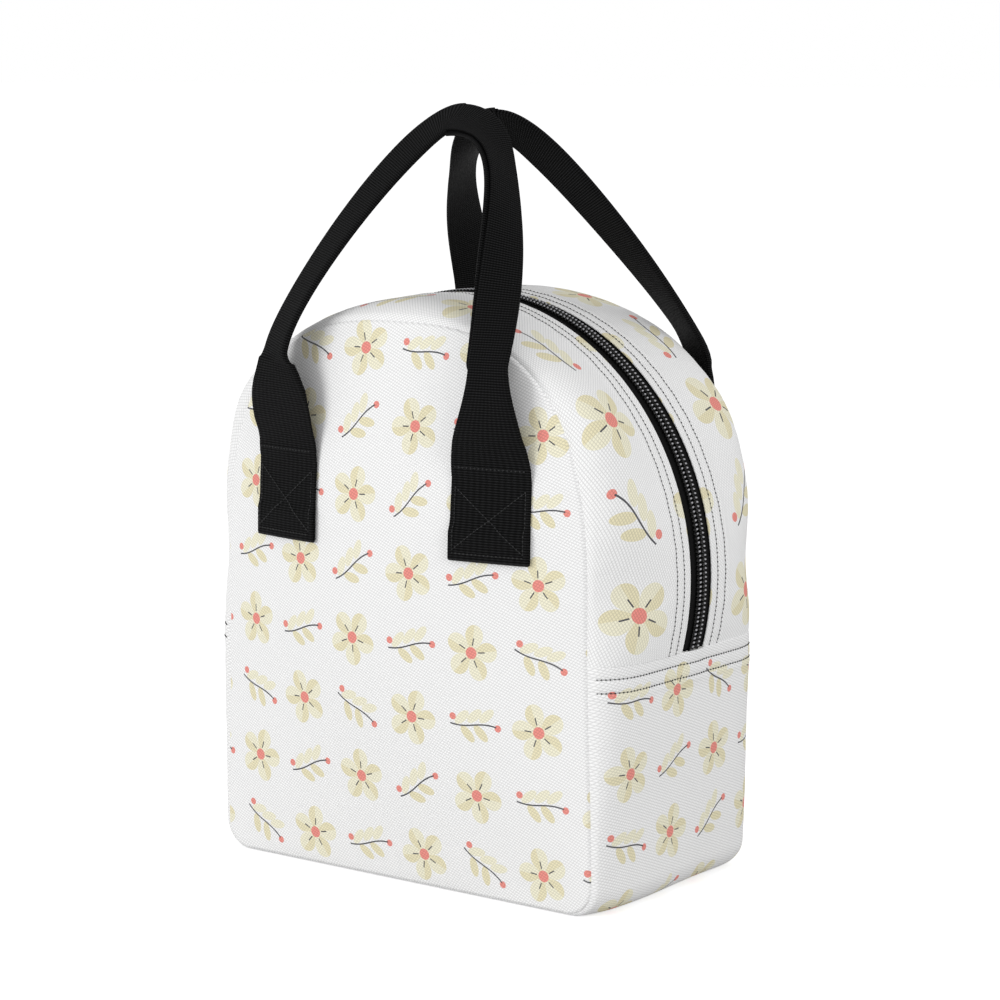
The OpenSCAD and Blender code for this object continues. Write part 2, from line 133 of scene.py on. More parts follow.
def zip_arc_r(a):
    """Distance of the zip's circle from the middle of the fold line, at angle a."""
    drop = ZIP_Z - FOLD_H
    return drop * np.sin(a) + np.sqrt(ZIP_R ** 2 - (drop * np.cos(a)) ** 2)


def seam_x(z):
    """Half-width of the panels below the fold line."""
    return PANEL_W / 2 - (PANEL_W - FOLD_W) / 2 * (1 - np.cos(np.pi * z / FOLD_H)) / 2


def zip_x(z):
    """Half-width of the zip's circle at height z."""
    return np.sqrt(ZIP_R ** 2 - (z - ZIP_Z) ** 2)


def swell_x(z):
    """Half-width of the swollen sides below the fold line."""
    low = PANEL_W / 2 + BASE_SWELL
    return np.where(z >= BAND_H, zip_x(np.maximum(z, BAND_H)), low + (zip_x(BAND_H) - low) * z / BAND_H)


def arch_points(radius, count):
    """Points of an arch from right to left, above the fold line."""
    a = np.linspace(0, np.pi, count)
    r = radius(a)
    return np.stack([r * np.cos(a), FOLD_H + r * np.sin(a)], -1)


def there_and_back(right):
    """A line of the right half, then its mirror image back on the left."""
    left = right[::-1] * [-1, 1]
    return right, left


def strip_track(end_z=BAND_H):
    """Seam line and swollen line of a top strip, from the right band seam over to the left one."""
    z = np.linspace(end_z, FOLD_H, 12)[:-1]
    lines = []
    for width, radius in ((seam_x, arch_r), (zip_x, zip_arc_r)):
        right, left = there_and_back(np.stack([width(z), z], -1))
        lines.append(np.concatenate([right, arch_points(radius, 201), left]))
    return lines


def lower_line(width, z):
    """Lower outline of a half-width, from the heights z on the right down, along the base and up again."""
    a = np.linspace(0, np.pi / 2, 13)[1:]
    x0 = float(width(np.array(CORNER_R))) - CORNER_R
    corner = np.stack([x0 + CORNER_R * np.cos(a), CORNER_R * (1 - np.sin(a))], -1)
    base = np.stack([np.linspace(x0, 0, 41)[1:], np.zeros(40)], -1)
    right = np.concatenate([np.stack([width(z), z], -1), corner, base])
    return np.concatenate([right, right[-2::-1] * [-1, 1]])


def panel_outline():
    """Closed seam line of a panel, counterclockwise from the fold line on the right."""
    below = lower_line(seam_x, np.linspace(FOLD_H, CORNER_R, 56))[::-1]
    return np.concatenate([arch_points(arch_r, 201), below[1:-1]])


def to_seam(y):
    """How far along the way from the zip to a seam depth y is, from 0 to 1."""
    return np.clip((np.abs(y) - ZIP_FLAT) / (HALF_D - ZIP_FLAT), 0, 1)


def swell(z, y, back):
    """How far the sides have swollen at height z and depth y, from 0 at the seams to 1 along the zip. They
    fill out squarely, but for the widest part of the bag. back is 1 behind the zip and 0 before it."""
    widest = np.exp(-((z - 147 * MM) / (30 * MM)) ** 2)[:, None]
    return 1 - to_seam(y) ** (6 + back - (4 + 0.2 * back) * widest)


def shoulder(z, y, back):
    """How far the cloth over the shoulders stands out."""
    out = to_seam(y)
    high = np.exp(-((z - 216 * MM) / (22 * MM)) ** 2)[:, None]
    return (5 - 2 * back) * MM * high * 6.75 * out ** 2 * (1 - out)


def side_surface(seam, swollen, y, back):
    """Points of a side between its seam line and its swollen line, over the depths y."""
    share = swell(seam[:, 1], y, back)[..., None]
    flat = seam[:, None, :] * (1 - share) + swollen[:, None, :] * share
    depth = np.broadcast_to(y[None, :], flat.shape[:2])
    return np.stack([flat[..., 0], depth, flat[..., 1]], -1)


def panel_y(x, z):
    """Depth of the front panel's outer surface."""
    h = z - FOLD_H
    above = 1 - (np.hypot(x, h) / arch_r(np.arctan2(h, x))) ** 2
    below = (1 - (x / seam_x(z)) ** 2) * (1 - (h / FOLD_H) ** 2)
    return -HALF_D - PANEL_CROWN * np.where(h > 0, above, below)


def lengths_along(points):
    """Running length of a line of points."""
    steps = np.linalg.norm(np.diff(points, axis=0), axis=-1)
    return np.concatenate([[0], np.cumsum(steps)])


def normals_of(grid, closed=False):
    """Unit normals of a grid of points, pointing out of the bag."""
    if closed:
        wrapped = np.concatenate([grid[:, -1:], grid, grid[:, :1]], axis=1)
        across = wrapped[:, 2:] - wrapped[:, :-2]
    else:
        across = np.gradient(grid, axis=1)
    n = np.cross(np.gradient(grid, axis=0), across)
    n /= np.maximum(np.linalg.norm(n, axis=-1, keepdims=True), 1e-12)
    centre = np.array([0, 0, (FOLD_H + BAND_H) / 2])
    return n * np.where(((grid - centre) * n).sum() < 0, -1, 1)


# ---------- Soft relief ----------

def ripple(u, v, wave, seed):
    """Smooth uneven field from 0 to 1 with bumps about wave long."""
    rng = np.random.default_rng(seed)
    total = np.zeros(np.broadcast(u, v).shape)
    count = 9
    for _ in range(count):
        a = rng.uniform(0, 2 * np.pi)
        k = 2 * np.pi / (wave * rng.uniform(0.7, 1.6))
        total = total + np.sin(k * (u * np.cos(a) + v * np.sin(a)) + rng.uniform(0, 2 * np.pi))
    return 0.5 + 0.5 * total / (count ** 0.5 * 1.6)


def edge_drop(distance, width, depth):
    """Depth by which cloth rounds down into a seam at a distance from it."""
    t = np.clip(1 - distance / width, 0, 1)
    return depth * (1 - np.sqrt(np.clip(1 - t ** 2, 0, 1)))


def dent(distance, width, depth):
    """Groove that a row of stitches pulls into the cloth."""
    return depth * np.exp(-(distance / width) ** 2)


def pucker(along, distance, seed):
    """Small gathers along a seam that fade away from it."""
    rng = np.random.default_rng(seed)
    phase = 2.2 * np.sin(along / (31 * MM) + rng.uniform(0, 6)) + rng.uniform(0, 6)
    wave = 0.5 + 0.5 * np.sin(2 * np.pi * along / (13 * MM) + phase)
    return 0.35 * MM * wave * np.exp(-distance / (6 * MM))


# ---------- Meshes ----------

def build(name, points, faces, uv, material):
    """Mesh object with outward faces, smooth but for its real edges."""
    mesh = bpy.data.meshes.new(name)
    mesh.from_pydata(np.asarray(points, float).tolist(), [], faces)
    corners = np.empty(len(mesh.loops), np.int32)
    mesh.loops.foreach_get("vertex_index", corners)
    layer = mesh.uv_layers.new(name="flat")
    layer.uv.foreach_set("vector", np.asarray(uv, np.float32)[corners].ravel())
    bm = bmesh.new()
    bm.from_mesh(mesh)
    bmesh.ops.recalc_face_normals(bm, faces=bm.faces)
    bm.to_mesh(mesh)
    bm.free()
    mesh.polygons.foreach_set("use_smooth", [True] * len(mesh.polygons))
    mesh.set_sharp_from_angle(angle=math.radians(50))
    mesh.materials.append(material)
    obj = bpy.data.objects.new(name, mesh)
    bpy.context.scene.collection.objects.link(obj)
    return obj


def grid_quads(n, m, at, closed):
    """Quads of an n by m grid of points, where at(i, j) numbers them."""
    return [(at(i, j), at(i + 1, j), at(i + 1, (j + 1) % m), at(i, (j + 1) % m))
            for i in range(n - 1) for j in range(m if closed else m - 1)]


def between(name, outer, inner, uv, material, closed=False):
    """Closed piece between two matching grids of points. A closed grid is a disc of rings round a middle."""
    n, m = outer.shape[:2]
    total = n * m
    points = [outer.reshape(-1, 3), inner.reshape(-1, 3)]
    places = [uv.reshape(-1, 2), uv.reshape(-1, 2)]
    top = lambda i, j: i * m + j % m
    low = lambda i, j: total + top(i, j)
    faces = grid_quads(n, m, top, closed) + grid_quads(n, m, low, closed)
    ends = range(m if closed else m - 1)
    faces += [(top(n - 1, j), top(n - 1, j + 1), low(n - 1, j + 1), low(n - 1, j)) for j in ends]
    if closed:
        points += [outer[0].mean(0)[None], inner[0].mean(0)[None]]
        places += [uv[0].mean(0)[None]] * 2
        faces += [(2 * total, top(0, j), top(0, j + 1)) for j in range(m)]
        faces += [(2 * total + 1, low(0, j), low(0, j + 1)) for j in range(m)]
    else:
        faces += [(top(0, j), top(0, j + 1), low(0, j + 1), low(0, j)) for j in ends]
        for j in (0, m - 1):
            faces += [(top(i, j), top(i + 1, j), low(i + 1, j), low(i, j)) for i in range(n - 1)]
    return build(name, np.concatenate(points), faces, np.concatenate(places), material)


def tube_parts(line, out, radius, sides=6):
    """Points, faces and flat places of a tube along a line. out is any direction across it at each point."""
    t = np.gradient(line, axis=0)
    t /= np.linalg.norm(t, axis=1, keepdims=True)
    a = out - (out * t).sum(1, keepdims=True) * t
    a /= np.linalg.norm(a, axis=1, keepdims=True)
    b = np.cross(t, a)
    turn = np.arange(sides) * 2 * np.pi / sides
    ring = a[:, None] * np.cos(turn)[None, :, None] + b[:, None] * np.sin(turn)[None, :, None]
    points = (line[:, None] + ring * np.broadcast_to(radius, len(line))[:, None, None]).reshape(-1, 3)
    n = len(line)
    faces = grid_quads(n, sides, lambda i, j: i * sides + j % sides, True)
    faces += [tuple(range(sides)), tuple(range((n - 1) * sides, n * sides))]
    along = np.repeat(lengths_along(line), sides)
    around = np.tile(turn * np.mean(radius), n)
    return points, faces, np.stack([along, around], -1)


def tubes(name, parts, material):
    """One object of several tubes."""
    points, faces, places, first = [], [], [], 0
    for p, f, uv in parts:
        points.append(p)
        places.append(uv)
        faces += [tuple(v + first for v in face) for face in f]
        first += len(p)
    return build(name, np.concatenate(points), faces, np.concatenate(places), material)


def resampled(line, others, step):
    """A line of points taken again at even steps, with other values along it."""
    s = lengths_along(line)
    at = np.linspace(0, s[-1], max(int(s[-1] / step), 2) + 1)
    pick = lambda values: np.stack([np.interp(at, s, values[:, k]) for k in range(values.shape[1])], -1)
    return [pick(line)] + [pick(o) for o in others]


# ---------- Materials ----------

# A wave texture of scale WAVE / p repeats every p units
WAVE = 0.314


def linear(code):
    """Linear colour of an sRGB hex code."""
    parts = [int(code[i:i + 2], 16) / 255 for i in (1, 3, 5)]
    return tuple(c / 12.92 if c <= 0.04045 else ((c + 0.055) / 1.055) ** 2.4 for c in parts) + (1,)


def add(tree, kind, *values, named=None, **settings):
    """Adds a shader node with its settings, and sets or links its inputs in order and by name."""
    node = tree.nodes.new("ShaderNode" + kind)
    for key, value in settings.items():
        setattr(node, key, value)
    for key, value in list(enumerate(values)) + list((named or {}).items()):
        if isinstance(value, bpy.types.Node):
            value = value.outputs[0]
        if isinstance(value, bpy.types.NodeSocket):
            tree.links.new(value, node.inputs[key])
        elif value is not None:
            node.inputs[key].default_value = value
    return node


def new_material(name):
    """An empty material and its node tree."""
    material = bpy.data.materials.new(name)
    material.use_nodes = True
    material.node_tree.nodes.clear()
    return material, material.node_tree


def finish_material(tree, **inputs):
    """The surface shader, with its inputs by name where spaces are written as underscores."""
    named = {key.replace("_", " "): value for key, value in inputs.items()}
    shader = add(tree, "BsdfPrincipled", named=named)
    add(tree, "OutputMaterial", shader)


def flat_place(tree, scale):
    """Place on the flat cloth, times a scale."""
    return add(tree, "VectorMath", add(tree, "UVMap", uv_map="flat"), named={3: scale}, operation="SCALE")


def painted(tree, base, mask, colour):
    """The base colour with another over it where the mask is 1."""
    return add(tree, "Mix", named={0: mask, 6: base, 7: linear(colour)}, data_type="RGBA").outputs[2]


def blossom(tree, q):
    """Masks of a five-petalled blossom: petals, their shaded halves, heart and stamens. q is in mm."""
    parts = add(tree, "SeparateXYZ", q)
    r = add(tree, "VectorMath", q, operation="LENGTH").outputs["Value"]
    angle = add(tree, "Math", parts.outputs[1], parts.outputs[0], operation="ARCTAN2")
    half = add(tree, "Math", angle, 2.5, operation="MULTIPLY")
    crest = add(tree, "Math", add(tree, "Math", half, operation="COSINE"), operation="ABSOLUTE")
    lobe = add(tree, "Math", crest, 0.6, operation="POWER")
    rim = add(tree, "Math", lobe, 6.6, 4.9, operation="MULTIPLY_ADD")
    petals = add(tree, "Math", r, rim, operation="LESS_THAN")
    side = add(tree, "Math", add(tree, "Math", angle, 5, operation="MULTIPLY"), operation="SINE")
    shaded = add(tree, "Math", petals, add(tree, "Math", side, 0.25, operation="GREATER_THAN"),
                 operation="MULTIPLY")
    heart = add(tree, "Math", r, 2.4, operation="LESS_THAN")
    off_line = add(tree, "Math", add(tree, "Math", half, operation="SINE"), r, operation="MULTIPLY")
    thin = add(tree, "Math", add(tree, "Math", off_line, operation="ABSOLUTE"), 0.62, operation="LESS_THAN")
    reach = add(tree, "Math", r, 4.6, 1.5, operation="COMPARE")
    stamens = add(tree, "Math", thin, reach, operation="MULTIPLY")
    return petals, shaded, heart, stamens


def ellipse(tree, q, middle, turn, size):
    """Mask of an ellipse of half-axes size at a place, turned. All in mm and radians."""
    moved = add(tree, "VectorMath", q, (-middle[0], -middle[1], 0), operation="ADD")
    turned = add(tree, "VectorRotate", moved, named={"Angle": -turn}, rotation_type="Z_AXIS")
    scaled = add(tree, "VectorMath", turned, (1 / size[0], 1 / size[1], 0), operation="MULTIPLY")
    reach = add(tree, "VectorMath", scaled, operation="LENGTH").outputs["Value"]
    return add(tree, "Math", reach, 1, operation="LESS_THAN")


def any_of(tree, masks):
    """The mask that is 1 where any of the masks is."""
    found = masks[0]
    for mask in masks[1:]:
        found = add(tree, "Math", found, mask, operation="MAXIMUM")
    return found


def sprig(tree, q):
    """Masks of a leafy twig: leaves, the leaves in shade, berries and stem. q is in mm."""
    leaves = [ellipse(tree, q, (x, side * 3.4 + bow), side * 0.75, (4.1, 1.9))
              for x, side, bow in ((-5.2, 1, -1), (0.6, 1, 0.4), (6, 1, 1.2))]
    shade = [ellipse(tree, q, (x, side * 3.4 + bow), side * 0.75, (4.1, 1.9))
             for x, side, bow in ((-2.4, -1, -0.6), (3.6, -1, 0.6))]
    berries = [ellipse(tree, q, place, 0, (1.45, 1.45)) for place in ((-9.4, 2.2), (11.2, 0.4))]
    parts = add(tree, "SeparateXYZ", q)
    x, y = parts.outputs[0], parts.outputs[1]
    bow = add(tree, "Math", add(tree, "Math", x, 0.22, operation="MULTIPLY"), operation="SINE")
    away = add(tree, "Math", y, bow, operation="SUBTRACT")
    thin = add(tree, "Math", add(tree, "Math", away, operation="ABSOLUTE"), 0.3, operation="LESS_THAN")
    reach = add(tree, "Math", x, 0, 10.5, operation="COMPARE")
    stem = add(tree, "Math", thin, reach, operation="MULTIPLY")
    return any_of(tree, leaves + shade), any_of(tree, shade), any_of(tree, berries), stem


def printed_polyester(name, pitch):
    """600D polyester, plain woven and transfer printed: matt white cloth with thread relief, painted shade
    in the gaps between the threads that shows as fine slanting lines, and flat ink that sinks into it. pitch
    is the print's repeat in mm."""
    material, tree = new_material(name)
    place = flat_place(tree, 1000)
    cells = add(tree, "VectorMath", place, named={3: 1 / pitch}, operation="SCALE")
    cell = add(tree, "VectorMath", cells, operation="FLOOR")
    local = add(tree, "VectorMath", add(tree, "VectorMath", cells, operation="FRACTION"),
                (-0.5, -0.5, 0), operation="ADD")
    chance = add(tree, "TexWhiteNoise", cell, noise_dimensions="2D").outputs["Value"]
    tilt = add(tree, "Math", chance, 1.4, -0.7, operation="MULTIPLY_ADD")
    motif_mm = 29
    q = add(tree, "VectorMath", local, named={3: motif_mm}, operation="SCALE")
    q = add(tree, "VectorRotate", q, named={"Angle": tilt}, rotation_type="Z_AXIS")
    count = add(tree, "VectorMath", cell, (0.5, 0.5, 0), operation="DOT_PRODUCT").outputs["Value"]
    odd = add(tree, "Math", add(tree, "Math", count, operation="FRACT"), 0.25, operation="GREATER_THAN")
    even = add(tree, "Math", 1, odd, operation="SUBTRACT")
    colour = linear("#f8f8f8")
    inks = ("#f4f0d8", "#ece4c2", "#f0968c", "#58585c")
    for masks, here in ((blossom(tree, q), even), (sprig(tree, q), odd)):
        for mask, ink in zip(masks, inks):
            colour = painted(tree, colour, add(tree, "Math", mask, here, operation="MULTIPLY"), ink)

    thread = 1.25    # mm; the real threads are about 0.5 mm apart, too fine to show
    slant = math.radians(-21)
    along = add(tree, "VectorRotate", place, named={"Angle": -slant}, rotation_type="Z_AXIS")
    lean = 1.25    # radians from one set of threads to the other
    across = add(tree, "VectorRotate", place, named={"Angle": -slant - lean}, rotation_type="Z_AXIS")
    rows, cross = [add(tree, "TexWave", way, named={"Scale": WAVE / thread, "Distortion": 0.6,
                       "Detail": 1.0, "Detail Scale": 0.4}, bands_direction="Y").outputs["Fac"]
                   for way in (along, across)]
    cross = add(tree, "Math", cross, 0.95, 0.05, operation="MULTIPLY_ADD")
    weave = add(tree, "Math", rows, cross, operation="MINIMUM")
    # painted shade: the colour is darkened where the threads dip, for the shade in the gaps of the weave
    shade = add(tree, "MapRange", weave, 0.0, 0.4, 0.72, 1.0)
    cloth = add(tree, "Mix", named={0: 1.0, 6: colour, 7: shade.outputs[0]}, data_type="RGBA",
                blend_type="MULTIPLY").outputs[2]
    bump = add(tree, "Bump", named={"Strength": 0.5, "Distance": 0.12 * MM, "Height": weave})
    finish_material(tree, Base_Color=cloth, Roughness=0.82, Normal=bump.outputs[0], Specular_IOR_Level=0.25)
    return material


def ribbed_webbing():
    """Black polypropylene webbing: heavy cross ribs, with a painted sheen on their backs and dull black
    valleys.
    """
    material, tree = new_material("black_ribbed_webbing")
    place = flat_place(tree, 1000)
    rib = 1.15    # mm from rib to rib
    ribs = add(tree, "TexWave", place, named={"Scale": WAVE / rib, "Distortion": 0.4, "Detail": 1.0,
               "Detail Scale": 0.6}, bands_direction="Y")
    threads = add(tree, "TexWave", place, named={"Scale": WAVE / 1.3, "Distortion": 0.8, "Detail": 1.0},
                  bands_direction="X")
    relief = add(tree, "Math", threads.outputs["Fac"], 0.35, ribs.outputs["Fac"], operation="MULTIPLY_ADD")
    # painted sheen: the colour is lighter on the rib crests and near black in the valleys
    painted_sheen = add(tree, "MapRange", relief, 0.45, 1.3, 0.0, 1.0)
    colour = add(tree, "Mix", named={0: painted_sheen.outputs[0], 6: linear("#020202"), 7: linear("#232324")},
                 data_type="RGBA").outputs[2]
    bump = add(tree, "Bump", named={"Strength": 0.9, "Distance": 0.35 * MM, "Height": relief})
    finish_material(tree, Base_Color=colour, Roughness=0.65, Normal=bump.outputs[0], Specular_IOR_Level=0.05)
    return material


def sewing_thread(name, code):
    """Spun polyester thread: dull, with a slight twist along it."""
    material, tree = new_material(name)
    place = flat_place(tree, 1000)
    twist = add(tree, "TexWave", place, named={"Scale": WAVE / 0.5}, bands_direction="DIAGONAL")
    bump = add(tree, "Bump", named={"Strength": 0.4, "Distance": 0.05 * MM, "Height": twist.outputs["Fac"]})
    dark = add(tree, "Mix", named={0: twist.outputs["Fac"], 6: linear(code), 7: linear("#1e1e20")},
               data_type="RGBA").outputs[2]
    finish_material(tree, Base_Color=dark, Roughness=0.7, Normal=bump.outputs[0])
    return material


def zip_tape_cloth():
    """Black woven polyester tape: a fine herringbone with a dull sheen."""
    material, tree = new_material("black_zip_tape")
    place = flat_place(tree, 1000)
    parts = add(tree, "SeparateXYZ", place)
    fold = add(tree, "Math", parts.outputs[1], 3.0, operation="PINGPONG")
    bent = add(tree, "CombineXYZ", add(tree, "Math", fold, parts.outputs[0], operation="ADD"), 0.0, 0.0)
    twill = add(tree, "TexWave", bent, named={"Scale": WAVE / 0.9}, bands_direction="X")
    colour = add(tree, "Mix", named={0: twill.outputs["Fac"], 6: linear("#040404"), 7: linear("#0f0f10")},
                 data_type="RGBA").outputs[2]
    bump = add(tree, "Bump", named={"Strength": 0.6, "Distance": 0.1 * MM, "Height": twill.outputs["Fac"]})
    finish_material(tree, Base_Color=colour, Roughness=0.8, Normal=bump.outputs[0], Specular_IOR_Level=0.1)
    return material


def coil_nylon():
    """Black nylon monofilament: deep black and half glossy, with a painted highlight of pale grey where each
    turn is highest.
    """
    material, tree = new_material("black_nylon_coil")
    place = flat_place(tree, 1000)
    turn = add(tree, "Math", add(tree, "SeparateXYZ", place), 1 / (TOOTH / MM), operation="MULTIPLY")
    crest = add(tree, "Math", add(tree, "Math", turn, operation="FRACT"), 0.25, operation="SUBTRACT")
    away = add(tree, "Math", crest, operation="ABSOLUTE")
    # painted highlight: a pale grey spot on the top of each turn of the coil
    painted_highlight = add(tree, "MapRange", away, 0.03, 0.1, 1.0, 0.0)
    colour = add(tree, "Mix", named={0: painted_highlight.outputs[0], 6: linear("#060606"), 7: linear("#b4b4b8")},
                 data_type="RGBA").outputs[2]
    streaks = add(tree, "TexNoise", place, named={"Scale": 1.5, "Detail": 2.0})
    bump = add(tree, "Bump", named={"Strength": 0.1, "Distance": 0.05 * MM,
               "Height": streaks.outputs["Fac"]})
    finish_material(tree, Base_Color=colour, Roughness=0.35, Normal=bump.outputs[0], Specular_IOR_Level=0.3)
    return material


def foam_sheet():
    """Closed-cell polyethylene foam: pale, matt and faintly pebbled."""
    material, tree = new_material("polyethylene_foam")
    place = flat_place(tree, 1000)
    cells = add(tree, "TexVoronoi", place, named={"Scale": 0.7})
    shade = add(tree, "MapRange", cells.outputs["Distance"], 0.0, 1.0, 0.9, 1.0)
    colour = add(tree, "Mix", named={0: 1.0, 6: linear("#e4e4e0"), 7: shade.outputs[0]}, data_type="RGBA",
                 blend_type="MULTIPLY").outputs[2]
    bump = add(tree, "Bump", named={"Strength": 0.4, "Distance": 0.2 * MM,
               "Height": cells.outputs["Distance"]})
    finish_material(tree, Base_Color=colour, Roughness=0.75, Normal=bump.outputs[0])
    return material


def foil_lining():
    """Aluminised film on a thin backing: a bright metal skin, crinkled by use, with sharp small facets."""
    material, tree = new_material("aluminised_lining")
    place = flat_place(tree, 1000)
    creases = add(tree, "TexVoronoi", place, named={"Scale": 0.085}, feature="DISTANCE_TO_EDGE")
    fine = add(tree, "TexNoise", place, named={"Scale": 0.16, "Detail": 4.0, "Roughness": 0.6})
    relief = add(tree, "Math", fine.outputs["Fac"], 0.6, creases.outputs["Distance"],
                 operation="MULTIPLY_ADD")
    colour = add(tree, "Mix", named={0: fine.outputs["Fac"], 6: linear("#c4c7cb"), 7: linear("#dfe1e4")},
                 data_type="RGBA").outputs[2]
    bump = add(tree, "Bump", named={"Strength": 0.8, "Distance": 1.2 * MM, "Height": relief})
    finish_material(tree, Base_Color=colour, Metallic=1.0, Roughness=0.3, Normal=bump.outputs[0])
    return material


def binding_cloth():
    """White woven binding tape: close cross ribs."""
    material, tree = new_material("white_binding_tape")
    place = flat_place(tree, 1000)
    ribs = add(tree, "TexWave", place, named={"Scale": WAVE / 1.1, "Distortion": 0.5}, bands_direction="X")
    colour = add(tree, "Mix", named={0: ribs.outputs["Fac"], 6: linear("#dcdcd9"), 7: linear("#f2f2f0")},
                 data_type="RGBA").outputs[2]
    bump = add(tree, "Bump", named={"Strength": 0.5, "Distance": 0.15 * MM, "Height": ribs.outputs["Fac"]})
    finish_material(tree, Base_Color=colour, Roughness=0.85, Normal=bump.outputs[0], Sheen_Weight=0.2)
    return material


def enamelled_zinc():
    """Die-cast zinc under black enamel: smooth gloss, a little worn to grey at the grain."""
    material, tree = new_material("black_enamelled_zinc")
    place = add(tree, "TexCoord").outputs["Object"]
    grain = add(tree, "TexNoise", place, named={"Scale": 900.0, "Detail": 3.0})
    colour = add(tree, "Mix", named={0: grain.outputs["Fac"], 6: linear("#121214"), 7: linear("#2a2a2d")},
                 data_type="RGBA").outputs[2]
    bump = add(tree, "Bump", named={"Strength": 0.15, "Distance": 0.1 * MM, "Height": grain.outputs["Fac"]})
    finish_material(tree, Base_Color=colour, Roughness=0.25, Normal=bump.outputs[0], Coat_Weight=0.4,
                    Coat_Roughness=0.12)
    return material


# The print's repeat in mm. The top strips are cut from a larger print
PRINT_PITCH = 33
WIDE_PITCH = 44

PANEL_CLOTH = printed_polyester("printed_polyester_panels", PRINT_PITCH)
BAND_CLOTH = printed_polyester("printed_polyester_band", PRINT_PITCH)
STRIP_CLOTH = printed_polyester("printed_polyester_strips", WIDE_PITCH)
WEBBING = ribbed_webbing()
BLACK_THREAD = sewing_thread("black_sewing_thread", "#101011")
TAPE_CLOTH = zip_tape_cloth()
COIL_NYLON = coil_nylon()
FOAM = foam_sheet()
FOIL = foil_lining()
BINDING = binding_cloth()
ZINC = enamelled_zinc()


# ---------- Helpers for both halves of the bag ----------

SIDES = (("front", 1), ("back", -1))


def placed(points, sign):
    """Points of the front half, mirrored for the back half where sign is -1."""
    return points * np.array([1, sign, 1])


def bend(obj):
    """Bakes a piece's placing into its points."""
    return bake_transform(obj)


# ---------- Rolled seams ----------

ROLL_R = 1.7 * MM
ROLL_TURN = math.radians(66)


def seam_roll():
    """Insets and depths of cloth that rolls down into a seam's crease, from the flat to the crease."""
    a = np.linspace(0, ROLL_TURN, 7)
    reach = ROLL_R * (1 - math.cos(ROLL_TURN) + math.sin(ROLL_TURN))
    return reach - ROLL_R * np.sin(a), ROLL_R * (1 - np.cos(a))


# ---------- Panels ----------

INNER_RINGS = 34


def panel_skins(inset, thickness, rolled, relief, seed):
    """Outer and inner points of one layer of the front panel, in rings from its middle to its rim, and
    the rings laid flat."""
    rim = panel_outline()
    t = np.roll(rim, -1, axis=0) - np.roll(rim, 1, axis=0)
    out = np.stack([t[:, 1], -t[:, 0]], -1) / np.linalg.norm(t, axis=1, keepdims=True)
    centre = np.array([0, FOLD_H])
    reach = ((rim - centre) * out).sum(1)
    insets, depths = seam_roll() if rolled else (np.array([1.5, 0.5, 0]) * MM, np.zeros(3))
    rims = 1 - (insets + inset)[:, None] / reach[None]
    inner = np.linspace(0.02, 1, INNER_RINGS)[:-1, None] * rims[:1]
    share = np.concatenate([inner, rims])
    depth = np.concatenate([np.zeros(len(inner)), depths])[:, None]
    rings = centre + (rim - centre)[None] * share[..., None]
    x, z = rings[..., 0], rings[..., 1]
    distance = (1 - share) * reach
    y = panel_y(x, z) + depth
    last = len(rings) - 1
    ramp = np.clip((np.arange(len(rings)) - last) / (len(insets) - 1) + 1, 0, 1)[:, None] ** 2
    y = y + (-HALF_D + depths[-1] - y[-1:]) * ramp
    skin = np.stack([x, y, z], -1)
    n = normals_of(skin, closed=True)
    along = lengths_along(rim)[None]
    soft = relief * (ripple(x, z, 95 * MM, seed) - 0.5) + relief * pucker(along, distance, seed) / MM
    fade = np.clip((distance - insets[-1] - inset) / (5 * MM), 0, 1)
    outer = skin + n * (soft * fade)[..., None] - n * inset
    outer[..., 2] = np.maximum(outer[..., 2], 0)
    inner_skin = outer - n * thickness
    inner_skin[..., 2] = np.maximum(inner_skin[..., 2], 0.2 * MM)
    return outer, inner_skin, rings


def panel_cut(inset):
    """Flat size and area of a panel's cloth, sewn inset from the seam line. Its low dome takes no extra."""
    rim = panel_outline()
    x, z = rim.T
    inside = abs(float(x @ np.roll(z, -1) - z @ np.roll(x, -1))) / 2
    seam = float(np.linalg.norm(np.roll(rim, -1, axis=0) - rim, axis=1).sum())
    return (PANEL_W - 2 * inset, ARCH_H - 2 * inset), inside - seam * inset


def panel_layers(side, sign):
    """Cover, foam and lining of the front or back panel."""
    seed = 11 if sign > 0 else 12
    made = []
    for layer, inset, thick, rolled, relief, finish, slot in (
            ("cover", 0, COVER_T, True, 1.1 * MM, PANEL_CLOTH, "printed_cover"),
            ("foam", FOAM_IN, FOAM_T, False, 0, FOAM, "foam"),
            ("lining", LINING_IN, LINING_T, False, 0.3 * MM, FOIL, "foil_lining")):
        extra = 2.4 * MM if layer == "foam" else 0
        outer, inner, flat = panel_skins(inset + extra, thick, rolled, relief, seed)
        outer[..., 1] -= extra
        inner[..., 1] -= extra
        obj = between(f"{side}_panel_{layer}", placed(outer, sign), placed(inner, sign), flat, finish, True)
        part = "panel" if layer == "cover" else layer
        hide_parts(f"{side}_{part}_lower", f"{side}_{part}_upper")
        if layer == "foam":
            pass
        else:
            size, area = panel_cut(inset)
        made.append(obj)
    return made


# ---------- Sides: top strips and lower band ----------

HEM = 14 * MM
STITCH_ROWS = (5 * MM, 11 * MM)
BAND_ROWS = (5.6 * MM, 11.7 * MM)
# Whether a strip is behind the zip, by the sign of its half
BEHIND = {1: 0, -1: 1}


def even_steps(low, high, step):
    """Places from low to high, about a step apart."""
    return np.linspace(low, high, max(int(round((high - low) / step)), 1) + 1)


def edge_steps(rows):
    """Distances from a hem's edge, close together where it rounds and at its rows of stitches."""
    near = [np.array([0, 0.12, 0.4, 0.8, 1.4, 2.4]) * MM]
    for row in rows:
        near.append(row + np.array([-1.6, -0.9, -0.4, 0, 0.4, 0.9, 1.6]) * MM)
    near.append(np.array([HEM - 0.6 * MM, HEM, HEM + 0.8 * MM, HEM + 1.8 * MM]))
    return np.concatenate(near)


